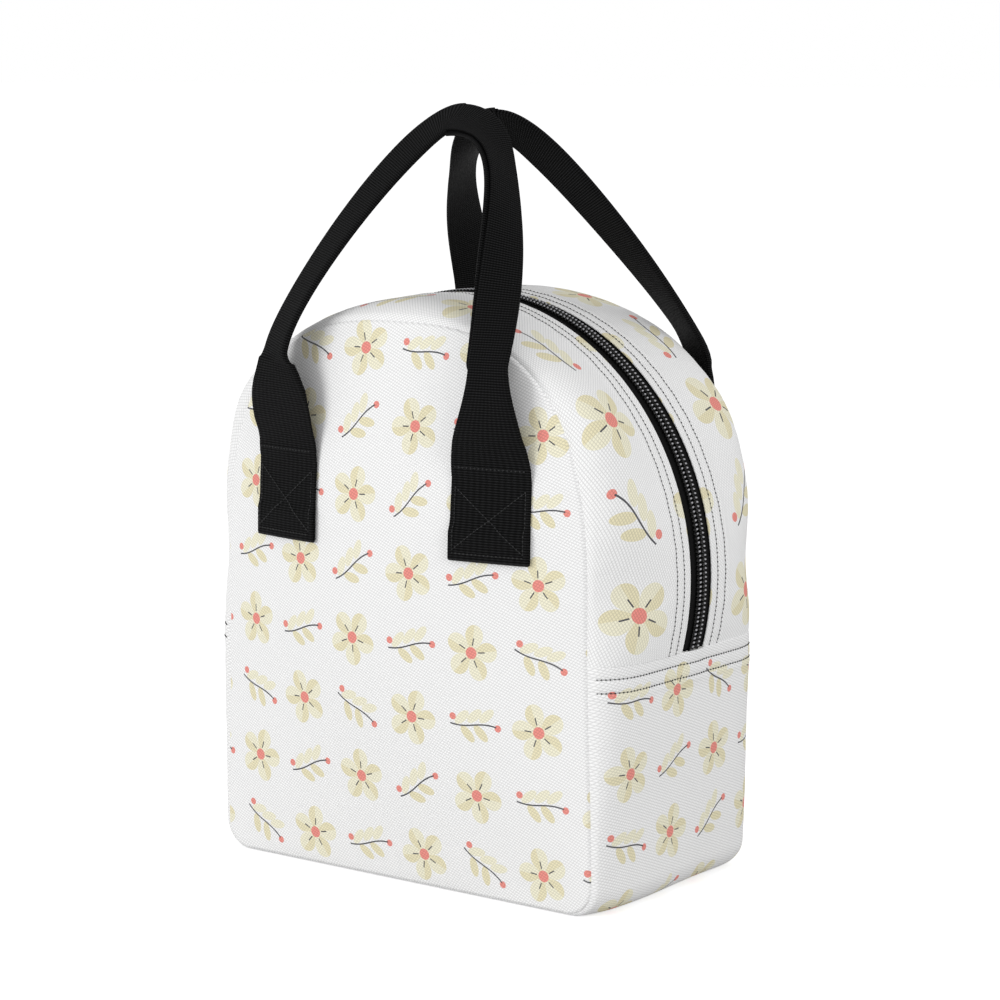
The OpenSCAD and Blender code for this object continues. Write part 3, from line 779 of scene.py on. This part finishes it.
def strip_depths():
    """Depths of a front strip, from its seam crease to the edge of the zip's window."""
    insets, depths = seam_roll()
    hem = HALF_D - ZIP_WINDOW / 2 - edge_steps(STITCH_ROWS)[::-1]
    middle = even_steps(insets[0], hem[0], 2.6 * MM)[1:-1]
    inset = np.concatenate([insets[::-1], middle, hem])
    drop = np.concatenate([depths[::-1], np.zeros(len(middle) + len(hem))])
    return inset - HALF_D, drop


def hem_relief(e, rows):
    """Height of a doubled hem at a distance e from its edge, with its rows of stitches pulled in."""
    step = np.clip((HEM + 1.5 * MM - e) / (1.5 * MM), 0, 1)
    raised = 0.3 * MM * step * step * (3 - 2 * step)
    groove = sum(dent(e - row, 1.1 * MM, 0.4 * MM) for row in rows)
    return raised - groove - edge_drop(e, 0.4 * MM, 0.3 * MM)


def skin_row(grid):
    """The row of points halfway along a piece."""
    return grid[len(grid) // 2]


def to_crease(outer, seam, depth, end, sign):
    """Brings the rolled edge of a side to the crease that it shares with the panel."""
    t = np.gradient(seam, axis=0)
    inward = np.stack([-t[:, 1], t[:, 0]], -1) / np.linalg.norm(t, axis=1, keepdims=True)
    inward *= np.where((inward * ([0, FOLD_H] - seam)).sum(1, keepdims=True) < 0, -1, 1)
    place = seam + inward * depth
    crease = np.stack([place[:, 0], np.full(len(seam), sign * (HALF_D - depth)), place[:, 1]], -1)
    move = crease - outer[:, end]
    for k in range(7):
        column = k if end == 0 else -1 - k
        outer[:, column] += move * (1 - k / 7) ** 2


def side_skins(tracks, depths, drop, inset, thickness, relief, back):
    """Outer and inner points of one layer of the sides, and the layer laid flat."""
    skin = side_surface(tracks[0], tracks[1], depths, back)
    n = normals_of(skin)
    relief = relief + shoulder(tracks[0][:, 1], depths, back)
    outer = skin + n * (relief - drop[None] - inset)[..., None]
    for end, sign in ((0, -1), (-1, 1)):
        if drop[end] > 0:
            to_crease(outer, tracks[0], drop[end], end, sign)
    inner = outer - n * thickness
    if outer[..., 2].min() < 0 or abs(tracks[0][:, 1].min()) < 1e-9:
        outer[..., 2] = np.maximum(outer[..., 2], 0)
    across = lengths_along(skin_row(outer))
    along = lengths_along(tracks[1])
    flat = np.stack(np.broadcast_arrays(across[None], along[:, None]), -1)
    return outer, inner, flat, n


def strip_cover(side, sign, seed):
    """Cover of a top strip, and what its stitches need."""
    tracks = strip_track()
    depths, drop = strip_depths()
    along = lengths_along(tracks[1])
    s, y = along[:, None], depths[None]
    e = -ZIP_WINDOW / 2 - y
    from_seam = HALF_D + y
    soft = 0.8 * MM * (ripple(s, y, 70 * MM, seed) - 0.4) * np.clip(e / (20 * MM), 0, 1)
    soft = soft + pucker(s, from_seam, seed) + 0.7 * pucker(s + 0.3, np.abs(e - 12 * MM), seed + 1)
    soft = soft * np.clip((from_seam - 1.8 * MM) / (4 * MM), 0, 1)
    relief = soft + hem_relief(e, STITCH_ROWS) - 0.35 * MM * np.exp(-(e / (7 * MM)) ** 2)
    thin_edge = COVER_T * (0.35 + 0.65 * np.clip(e / (2.5 * MM), 0, 1)).reshape(-1, 1)
    outer, inner, flat, n = side_skins(tracks, depths, drop, 0, thin_edge, relief, BEHIND[sign])
    flat = flat[..., ::-1]
    obj = between(f"{side}_strip_cover", placed(outer, sign), placed(inner, sign), flat, STRIP_CLOTH)
    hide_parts(f"{side}_top_strip", "strip_ends")
    return obj, outer, n, depths


# What is under the cover of the sides: layer, inset, thickness, depth of its seam, finish and slot
INNER_LAYERS = (("foam", FOAM_IN, FOAM_T, FOAM_Y, FOAM, "foam"),
                ("lining", LINING_IN, LINING_T, LINING_Y, FOIL, "foil_lining"))


def side_layers(side, sign, seed):
    """Foam and lining of a top strip."""
    made = []
    for layer, inset, thick, seam_y, finish, slot in INNER_LAYERS:
        tracks = strip_track()
        depths = even_steps(-seam_y, -ZIP_FLAT, 3.2 * MM)
        s, y = lengths_along(tracks[1])[:, None], depths[None]
        amount = 0.3 * MM if layer == "lining" else 0
        relief = amount * (ripple(s, y, 22 * MM, seed) - 1)
        outer, inner, flat, _ = side_skins(tracks, depths, np.zeros(len(depths)), inset, thick, relief,
                                           BEHIND[sign])
        obj = between(f"{side}_strip_{layer}", placed(outer, sign), placed(inner, sign), flat, finish)
        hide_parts(f"{side}_strip_{layer}", f"strip_end_{layer}")
        made.append(obj)
    return made


def lower_track(steps_from_top):
    """Seam line and swollen line of the lower band, from its right end down round the base."""
    near = BAND_H - steps_from_top
    z = np.concatenate([near, np.linspace(near[-1], CORNER_R, 38)[1:]])
    return [lower_line(width, z) for width in (seam_x, swell_x)]


def band_layers():
    """Cover, foam and lining of the lower band, and what its stitches need."""
    tracks = lower_track(edge_steps(BAND_ROWS))
    insets, rolls = seam_roll()
    middle = even_steps(insets[0] - HALF_D, HALF_D - insets[0], 2.6 * MM)[1:-1]
    depths = np.concatenate([insets[::-1] - HALF_D, middle, HALF_D - insets])
    drop = np.concatenate([rolls[::-1], np.zeros(len(middle)), rolls])
    along = lengths_along(tracks[1])
    s, y = along[:, None], depths[None]
    e = np.minimum(s, along[-1] - s)
    from_seam = HALF_D - np.abs(y)
    soft = 1.2 * MM * (ripple(s, y, 80 * MM, 31) - 0.5) + pucker(s, from_seam, 32)
    soft = soft + 0.8 * pucker(y, np.abs(e - 12.5 * MM), 33)
    soft = soft * np.clip((from_seam - 1.8 * MM) / (4 * MM), 0, 1)
    over_zip = 1.6 * MM * np.exp(-(y / (7 * MM)) ** 4) * np.clip(1 - e / (16 * MM), 0, 1) ** 0.7
    relief = soft + hem_relief(e, BAND_ROWS) + over_zip
    outer, inner, flat, n = side_skins(tracks, depths, drop, 0, COVER_T, relief, depths > 0)
    inner[..., 2] = np.where(outer[..., 2] <= 0.3 * MM, np.maximum(inner[..., 2], COVER_T), inner[..., 2])
    flat = flat * [1, -1]
    cover = between("band_cover", outer, inner, flat, BAND_CLOTH)
    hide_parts("lower_band")
    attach(cover, "root")
    names = {"foam": "band_foam_pad", "lining": "band_foil"}
    for layer, inset, thick, seam_y, finish, slot in INNER_LAYERS:
        tracks = lower_track(np.array([0, 3, 8, 14]) * MM)
        ys = even_steps(-seam_y, seam_y, 3.2 * MM)
        s, y = lengths_along(tracks[1])[:, None], ys[None]
        amount = 0.3 * MM if layer == "lining" else 0
        relief = amount * (ripple(s, y, 22 * MM, 35) - 1)
        skin, under, flat_l, _ = side_skins(tracks, ys, np.zeros(len(ys)), inset, thick, relief, ys > 0)
        obj = between(names[layer], skin, under, flat_l, finish)
        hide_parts(f"band_{layer}")
        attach(obj, "root")
    return outer, n, depths, along


# ---------- Stitches ----------

STITCH = 2.05 * MM
THREAD_R = 0.07 * MM
STITCH_R = 0.46 * MM


def stitch_row(line, out):
    """A row of stitches along a line on cloth: a thin thread that swells where each stitch dips."""
    line, out = resampled(line, [out], STITCH / 6)
    s = lengths_along(line)
    bump = np.clip(np.cos(2 * np.pi * s / STITCH), 0, 1) ** 2
    radius = THREAD_R + (STITCH_R - THREAD_R) * bump
    out = out / np.linalg.norm(out, axis=1, keepdims=True)
    return tube_parts(line + out * 0.1 * MM, out, radius, sides=5)


def column_line(outer, n, depths, y):
    """Line along a grid of the sides at a depth y, and the way out of the cloth there."""
    j = int(np.searchsorted(depths, y))
    f = (y - depths[j - 1]) / (depths[j] - depths[j - 1])
    return outer[:, j - 1] * (1 - f) + outer[:, j] * f, n[:, j]


# ---------- Binding of the inner seams ----------

def binding(side, sign):
    """Tape round the inside of a panel's seam."""
    rim = panel_outline()[::2]
    t = np.roll(rim, -1, axis=0) - np.roll(rim, 1, axis=0)
    inward = np.stack([-t[:, 1], t[:, 0]], -1) / np.linalg.norm(t, axis=1, keepdims=True)
    s = lengths_along(rim)
    corners = np.array([(-1, -0.55), (-0.93, 0.55), (-0.6, 1), (0, 1.05), (0.6, 1), (0.93, 0.55), (1, -0.55),
                        (0.9, -1), (0, -1), (-0.9, -1)])
    wave = 0.12 * MM * np.sin(2 * np.pi * s / (7 * MM))
    u = corners[:, 0][None] * (BINDING_W / 2 - 0.2 * MM)
    v = corners[:, 1][None] * (BINDING_T / 2 - 0.1 * MM) + (wave * 0.5)[:, None]
    middle = BINDING_IN + BINDING_W / 2
    xz = rim[:, None] + inward[:, None] * (middle + u)[..., None]
    y = -LINING_Y + BINDING_T / 2 + v
    grid = np.stack([xz[..., 0], y, xz[..., 1]], -1)
    n, m = grid.shape[:2]
    at = lambda i, j: (i % n) * m + j
    faces = grid_quads(n + 1, m, at, True)
    around = np.arange(m) * 2 * MM
    flat = np.stack(np.broadcast_arrays(s[:, None], around[None]), -1).reshape(-1, 2)
    obj = build(f"{side}_binding", placed(grid.reshape(-1, 3), sign), faces, flat, BINDING)
    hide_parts(f"{side}_binding_lower", f"{side}_binding_upper")
    return obj


# ---------- Zip ----------

ZIP_TUCK = 1.5 * MM
COIL_R = 0.42 * MM
COIL_NEAR = 0.75 * MM
COIL_FAR = 3.4 * MM
COIL_LEAN = 0.55 * MM
# How far the closed chain is pressed out of the opening
CHAIN_LIFT = 0.2 * MM


def on_zip(s, y, h):
    """Points at distances s along the zip from its right end, depths y and heights h above its circle."""
    start = -math.asin((ZIP_Z - BAND_H + ZIP_TUCK) / ZIP_R)
    a = start + s / ZIP_R
    r = ZIP_R + h
    return np.stack(np.broadcast_arrays(r * np.cos(a), y, ZIP_Z + r * np.sin(a)), -1)


def zip_length():
    """Length of the zip's tapes, both tucked ends included."""
    return ZIP_R * (np.pi + 2 * math.asin((ZIP_Z - BAND_H + ZIP_TUCK) / ZIP_R))


def zip_tape(side, sign):
    """One woven tape, with the cord that the coil is sewn along."""
    s = even_steps(0, zip_length(), 2 * MM)[:, None]
    y = np.array([0.8, 1.0, 1.6, 3, 4.2, 4.6, 5.1, 5.8, 7.2, 9, 11, 13, 14.8]) * MM
    cord = 0.25 * MM * np.exp(-((y - 5 * MM) / (0.5 * MM)) ** 2)
    top = TAPE_TOP + cord + CHAIN_LIFT - np.clip((y - 6 * MM) / (3.5 * MM), 0, 1) * (CHAIN_LIFT + 0.25 * MM)
    outer = on_zip(s, -y[None], top[None])
    inner = on_zip(s, -y[None], (top - TAPE_T)[None])
    flat = np.stack(np.broadcast_arrays(s, y[None]), -1)
    obj = between(f"{side}_tape", placed(outer, sign), placed(inner, sign), flat, TAPE_CLOTH)
    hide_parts(f"{side}_zip_tape", "zip_tape_ends")
    return obj


def zip_coil(side, sign):
    """Helix of nylon whose heads lean along the zip and meet those of the other side."""
    turns = zip_length() / TOOTH - 1
    t = np.linspace(0, turns, int(turns * 12)) + (0.5 if sign < 0 else 0)
    phase = 2 * np.pi * t
    y = (COIL_NEAR + COIL_FAR) / 2 - (COIL_FAR - COIL_NEAR) / 2 * np.cos(phase)
    top = TAPE_TOP + CHAIN_LIFT + COIL_H - COIL_R
    low = TAPE_TOP + CHAIN_LIFT + COIL_R
    h = (top + low) / 2 + (top - low) / 2 * np.sin(phase)
    s = 0.5 * TOOTH + t * TOOTH * 0.995 + COIL_LEAN * np.cos(phase)
    line = on_zip(s, -y, h)
    centre = on_zip(0.5 * TOOTH + t * TOOTH, np.full(len(t), -(COIL_NEAR + COIL_FAR) / 2),
                    np.full(len(t), (top + low) / 2))
    head = 1 + 0.18 * np.clip(np.cos(phase), 0, 1)
    points, faces, flat = tube_parts(line, line - centre, COIL_R * head)
    flat[:, 0] = np.repeat(t * TOOTH, 6)
    obj = build(f"{side}_coil", placed(points, sign), faces, flat, COIL_NYLON)
    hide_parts(f"{side}_zip_coil", "zip_coil_ends")
    return obj


# ---------- Webbing handles ----------

LAYER_SLACK = 0.35 * MM
TURNED_END = 17 * MM
# The webbing is sewn on a little towards the bag's middle
FULL_IN = 21.3 * MM
FULL_OUT = 18.5 * MM


def leg_line(name, side):
    """Middle line of a leg from its stitch line to the grip's middle, and the turn of its face."""
    rise, back, flat, bow, turn, foot_turn, peak, aside, stand, _ = LEGS[name, side]
    grip_x, grip_y, grip_z = GRIPS[name]
    leg_x = HANDLE_SPREAD / 2
    root_y = float(panel_y(leg_x, STITCH_H)) - LAYER_GAP - 1.5 * WEB_T
    leg_y = joint_place("front_handle_swing").y - LEG_STAND - stand * MM
    t = np.linspace(0, 1, 21)[:-1]
    leg = np.stack([leg_x + aside * MM * t, root_y + (leg_y - root_y) * np.sin(np.pi / 2 * t),
                    STITCH_H + LEG_RISE * t], -1)
    foot = np.array([leg_x + aside * MM, leg_y, STITCH_H + LEG_RISE])
    grip = np.array([side * grip_x, -grip_y, grip_z])
    p = [foot, foot + np.array([0, back, rise]) * MM, grip + np.array([flat, 0, 0]) * MM, grip]
    u = np.linspace(0, 1, 61)[:, None]
    curve = (1 - u) ** 3 * p[0] + 3 * (1 - u) ** 2 * u * p[1] + 3 * (1 - u) * u ** 2 * p[2] + u ** 3 * p[3]
    share = np.concatenate([np.zeros(20), u[:, 0]])
    climb = np.concatenate([t, np.ones(61)])
    line = np.concatenate([leg, curve])
    line[:, 0] += bow * MM * np.sin(np.pi * share) ** 2
    s = lengths_along(line)
    reach = 0.1 * MM + 10 * MM * np.clip(s / LEG_RISE, 0, 1) * np.clip((1 - share) / 0.3, 0, 1)
    weight = np.exp(-((s[:, None] - s[None]) / reach[:, None]) ** 2)
    line = weight @ line / weight.sum(1, keepdims=True)
    twist = np.radians(foot_turn) * climb * (1 - share) + np.radians(turn) * np.sin(np.pi * share ** peak)
    return line * [side, 1, 1], share, climb, twist


def leg_edges(h, turned, widens=46 * MM):
    """Inner and outer edge of a leg's webbing at a height above the stitch line, on the grip's side of
    its middle first. It opens from the folded grip to its full width."""
    grip = GRIP_W / 2
    if turned:
        fold_side = grip + (FULL_OUT - grip) * (1 - np.clip(h / (45 * MM), 0, 1) ** 1.15)
        u = np.clip((h + 2 * MM) / (43 * MM), 0, 1)
        plain_side = grip + (FULL_IN - grip) * (1 - u * u * (3 - 2 * u))
    else:
        fold_side = grip + (FULL_IN - grip) * (1 - np.clip((h - widens) / (33 * MM) + 1, 0, 1) ** 1.8)
        u = np.clip((h - 20 * MM) / (26 * MM), 0, 1)
        plain_side = grip + (FULL_OUT - grip) * (1 - u * u * (3 - 2 * u))
        plain_side -= 1.6 * MM * math.exp(-((h - 4 * MM) / (6 * MM)) ** 2)
    return -plain_side, fold_side


def web_faces(name):
    """Middle lines of a handle's two legs with their directions, and the way their faces look. The faces
    turn smoothly over the grip from one leg to the other."""
    step = 0.5 * MM
    rise = panel_y(HANDLE_SPREAD / 2 + step, STITCH_H) - panel_y(HANDLE_SPREAD / 2 - step, STITCH_H)
    root_turn = math.atan(float(rise) / (2 * step))
    legs = {}
    for side in (-1, 1):
        line, share, climb, twist = leg_line(name, side)
        t = np.gradient(line, axis=0)
        t /= np.linalg.norm(t, axis=1, keepdims=True)
        t[-1] = (-side, 0, 0)
        roll = GRIP_ROLL[name] * share ** 2
        turn = root_turn * (1 - climb) + twist
        n = np.stack([side * np.sin(turn), -np.cos(turn) * np.cos(roll), np.cos(turn) * np.sin(roll)], -1)
        n -= (n * t).sum(1, keepdims=True) * t
        legs[side] = line, share, t, n / np.linalg.norm(n, axis=1, keepdims=True)
    line, share, t, n = [np.concatenate([a, b[::-1]]) for a, b in zip(legs[-1], legs[1])]
    s = lengths_along(line)
    reach = 0.1 * MM + 14 * MM * np.clip((share - 0.5) / 0.4, 0, 1)
    weight = np.exp(-((s[:, None] - s[None]) / reach[:, None]) ** 2)
    n = weight @ n
    n -= (n * t).sum(1, keepdims=True) * t
    n /= np.linalg.norm(n, axis=1, keepdims=True)
    half = len(legs[-1][0])
    return {-1: (*legs[-1][:3], n[:half]), 1: (*legs[1][:3], n[half:][::-1])}


def web_section(left, right, folded, spread):
    """Section of webbing from left to right edge with folded of its width turned under at the right:
    places across it and through it."""
    h = min(1.0, folded / (3 * MM))
    shift = spread * (WEB_T + LAYER_SLACK) / 2
    top = shift + WEB_T / 2
    mid = shift - WEB_T / 2
    inner = mid - LAYER_SLACK * h
    low = inner - WEB_T * h
    r = (top - low) / 2
    rw = min(r, 1.3 * MM)
    c = (top + low) / 2
    e = 0.4 * MM
    across = [left, left + e] + list(np.linspace(left + 2 * MM, right - rw, 7))
    through = [top - e, top] + [top] * 7
    for a in np.radians([60, 30, 0, -30, -60]):
        across.append(right - rw + rw * math.cos(a))
        through.append(c + r * math.sin(a))
    back = np.linspace(right - rw, right - max(folded, rw), 5)
    across += list(back) + [back[-1]]
    through += [low] * 5 + [inner]
    inside = np.linspace(back[-1], right - max(WEB_T * h, rw * 0.9), 3)[1:]
    across += list(inside) + [inside[-1]]
    through += [inner] * 2 + [mid]
    across += list(np.linspace(right - rw * 1.2, left + 2 * MM, 5)) + [left + e, left]
    through += [mid] * 5 + [mid, mid + e]
    return np.array(across), np.array(through)


def patch_point(side, across, z, out):
    """A point of a sewn end: on the panel, out from it."""
    x = side * HANDLE_SPREAD / 2 + across
    return np.stack(np.broadcast_arrays(x, panel_y(x, z) - LAYER_GAP - out, z), -1)


def web_lift(z):
    """How far the front layer of a sewn end stands off: over its turned-under end and at its stitch line."""
    low = np.clip((TURNED_END - (z - STITCH_H + PATCH_LEN)) / (4 * MM), 0, 1)
    high = np.clip(1 - (STITCH_H - z) / (7 * MM), 0, 1)
    over = np.maximum(low * low * (3 - 2 * low), high * high * (3 - 2 * high))
    return WEB_T / 2 + 0.1 * MM + WEB_T * over


def web_leg(name, side, turned):
    """Rings of one half of a handle: its turned-under end, its sewn end, its leg and half the grip."""
    rings = []
    line, share, t, n = web_faces(name)[side]
    widens = LEGS[name, side][-1] * MM
    bottom = STITCH_H - PATCH_LEN
    left, right = leg_edges(0, turned)
    full = right - left
    across, through = web_section(left, right, 0, 0)
    fold_r = WEB_T / 2 + 0.05 * MM
    turned_top = bottom + TURNED_END
    # up the back of the sewn end, round its folded bottom, and up its front
    for z in even_steps(bottom + fold_r, turned_top, 4 * MM)[::-1]:
        rings.append(patch_point(side, across, z, WEB_T / 2 - through))
    for a in np.linspace(0, np.pi, 7)[1:-1]:
        out = WEB_T + 0.05 * MM - (fold_r + through) * math.cos(a)
        z = bottom + fold_r - (fold_r + through) * math.sin(a)
        rings.append(patch_point(side, across, z, out))
    for z in even_steps(bottom + fold_r, STITCH_H, 3 * MM)[:-1]:
        rings.append(patch_point(side, across, z, web_lift(z) + through))
    for k in range(len(line)):
        h = line[k][2] - STITCH_H if share[k] < 0.5 else 1
        left, right = leg_edges(h, turned, widens)
        folded = full - (right - left)
        spread = min(1.0, max(0.0, folded / (6 * MM)))
        across, through = web_section(left, right, folded, spread)
        w = np.cross(t[k], n[k])
        ring = line[k] + across[:, None] * w + through[:, None] * n[k]
        fade = max(0.0, 1 - h / (12 * MM)) if share[k] == 0 else 0
        if fade > 0:
            lying = patch_point(side, across, np.full(len(across), line[k][2]), WEB_T * 1.5 + through)
            lying[:, 1] += line[k][1] - line[0][1]
            ring = ring * (1 - fade) + lying * fade
        rings.append(ring)
    return np.array(rings)


def web_mesh(name, legs):
    """One object of a handle's two halves."""
    points, faces, places, first = [], [], [], 0
    for rings in legs:
        n, m = rings.shape[:2]
        at = lambda i, j: first + i * m + j % m
        faces += grid_quads(n, m, at, True)
        faces += [tuple(at(0, j) for j in range(m)), tuple(at(n - 1, j) for j in range(m))]
        middle = rings.mean(1)
        along = lengths_along(middle)
        around = lengths_along(rings[n // 2])
        points.append(rings.reshape(-1, 3))
        places.append(np.stack(np.broadcast_arrays(around[None], along[:, None]), -1).reshape(-1, 2))
        first += n * m
    return build(name, np.concatenate(points), faces, np.concatenate(places), WEBBING)


def patch_stitches(side, turned):
    """Rows of stitches across the top and the bottom of a sewn end, and a cross between them."""
    low, high = STITCH_H - PATCH_LEN + 3 * MM, STITCH_H - 0.8 * MM
    left, right = [edge * 0.88 for edge in leg_edges(0, turned)]
    box_low, box_high = low + 1.5 * MM, high - 9 * MM
    lines = [((left, low), (right, low)), ((left, high), (right, high)),
             ((left, box_low), (right, box_high)), ((left, box_high), (right, box_low)),
             ((left, box_low), (left, box_high)), ((right, box_low), (right, box_high))]
    parts = []
    for a, b in lines:
        u = np.linspace(0, 1, 40)
        across, z = a[0] + (b[0] - a[0]) * u, a[1] + (b[1] - a[1]) * u
        line = patch_point(side, across, z, web_lift(z) + WEB_T / 2)
        parts.append(stitch_row(line, np.tile([0.0, -1.0, 0.0], (40, 1))))
    return parts


# ---------- The pieces in place ----------

band_outer, band_n, band_ys, band_along = band_layers()

for side, sign in SIDES:
    seed = 21 if sign > 0 else 26
    strip, strip_outer, strip_n, strip_ys = strip_cover(side, sign, seed)
    pieces = panel_layers(side, sign) + side_layers(side, sign, seed)
    pieces += [strip, binding(side, sign), zip_tape(side, sign), zip_coil(side, sign)]
    rows = []
    for row in STITCH_ROWS:
        line, out = column_line(strip_outer, strip_n, strip_ys, -ZIP_WINDOW / 2 - row)
        rows.append(stitch_row(placed(line, sign), placed(out, sign)))
    stitches = tubes(f"{side}_strip_stitches", rows, BLACK_THREAD)
    pieces.append(stitches)
    for piece in pieces:
        bend(piece)

    handle = web_mesh(f"{side}_webbing", [placed(web_leg(side, s, s == sign), sign) for s in (-1, 1)])
    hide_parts(f"{side}_handle", f"{side}_left_patch", f"{side}_right_patch")
    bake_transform(handle)
    rows = [(placed(p, sign), f, uv) for s in (-1, 1) for p, f, uv in patch_stitches(s, s == sign)]
    stitches = tubes(f"{side}_patch_stitches", rows, BLACK_THREAD)
    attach(stitches, f"{side}_flap")

rows = []
for row in BAND_ROWS:
    for at in (row, band_along[-1] - row):
        i = int(np.argmin(np.abs(band_along - at)))
        inside = slice(5, len(band_ys) - 5)
        rows.append(stitch_row(band_outer[i, inside], band_n[i, inside]))
stitches = tubes("band_stitches", rows, BLACK_THREAD)
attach(stitches, "root")

for name in ("zip_slider", "pull_tab"):
    node = bpy.data.objects[name]
    node.data.materials.clear()
    node.data.materials.append(ZINC)
    edges = node.modifiers.new("soft_edges", "BEVEL")
    edges.width = 0.25 * MM
    edges.segments = 2
    edges.limit_method = "ANGLE"


# ---------- Camera, light and floor ----------

AZIMUTH = math.radians(36.97)
ELEVATION = math.radians(8.41)
FOCAL_PX = 3004.67
IMAGE_PX = 1000
CAMERA_AWAY = 1408.9 * MM
TARGET = Vector((10.91, 0, 172.36)) * MM


def camera():
    """Camera in front of the bag's right corner, a little above it."""
    away = Vector((math.sin(AZIMUTH) * math.cos(ELEVATION), -math.cos(AZIMUTH) * math.cos(ELEVATION),
                   math.sin(ELEVATION)))
    data = bpy.data.cameras.new("camera")
    data.sensor_width = 36
    data.sensor_fit = "HORIZONTAL"
    data.lens = FOCAL_PX / IMAGE_PX * data.sensor_width
    data.clip_start = 0.05
    obj = bpy.data.objects.new("camera", data)
    bpy.context.scene.collection.objects.link(obj)
    obj.location = TARGET + away * CAMERA_AWAY
    obj.rotation_euler = away.to_track_quat("Z", "Y").to_euler()
    bpy.context.scene.camera = obj


def area_light(name, place, size, power, look_at=(0, 0, 0.15)):
    """A round soft lamp that looks at the bag."""
    data = bpy.data.lights.new(name, "AREA")
    data.shape = "DISK"
    data.size = size
    data.energy = power
    obj = bpy.data.objects.new(name, data)
    bpy.context.scene.collection.objects.link(obj)
    obj.location = place
    obj.rotation_euler = (Vector(place) - Vector(look_at)).to_track_quat("Z", "Y").to_euler()


def floor_and_world():
    """White studio floor that keeps the bag's shadow, and a plain white world."""
    material, tree = new_material("white_studio_floor")
    ray = add(tree, "LightPath")
    seen = add(tree, "Math", ray.outputs["Is Camera Ray"], ray.outputs["Is Glossy Ray"], operation="MAXIMUM")
    seen = add(tree, "Math", seen, ray.outputs["Is Transmission Ray"], operation="MAXIMUM")
    lit = add(tree, "BsdfDiffuse", (0.62, 0.62, 0.62, 1))
    glow = add(tree, "Emission", (1, 1, 1, 1), add(tree, "Math", seen, 0.68, operation="MULTIPLY"))
    add(tree, "OutputMaterial", add(tree, "AddShader", lit, glow))
    reach = 30
    mesh = bpy.data.meshes.new("floor")
    mesh.from_pydata([(-reach, -reach, 0), (reach, -reach, 0), (reach, reach, 0), (-reach, reach, 0)],
                     [], [(0, 1, 2, 3)])
    mesh.materials.append(material)
    floor = bpy.data.objects.new("floor", mesh)
    bpy.context.scene.collection.objects.link(floor)
    floor.location.z = -0.2 * MM

    world = bpy.data.worlds.new("studio")
    bpy.context.scene.world = world
    world.use_nodes = True
    tree = world.node_tree
    tree.nodes.clear()
    ray = add(tree, "LightPath")
    seen = add(tree, "Math", ray.outputs["Is Camera Ray"], ray.outputs["Is Transmission Ray"],
               operation="MAXIMUM")
    strength = add(tree, "MapRange", seen, 0.0, 1.0, 0.62, 1.0)
    back = add(tree, "Background", (1, 1, 1, 1), strength.outputs[0])
    add(tree, "OutputWorld", back)


camera()
floor_and_world()
area_light("key", (-0.95, -2.05, 0.5), 1.2, 24.5)
area_light("top", (0.4, 0.1, 2.0), 1.2, 1.5)
area_light("fill", (1.9, -0.5, 0.9), 1.2, 13)

view = bpy.context.scene.view_settings
view.view_transform = "Standard"
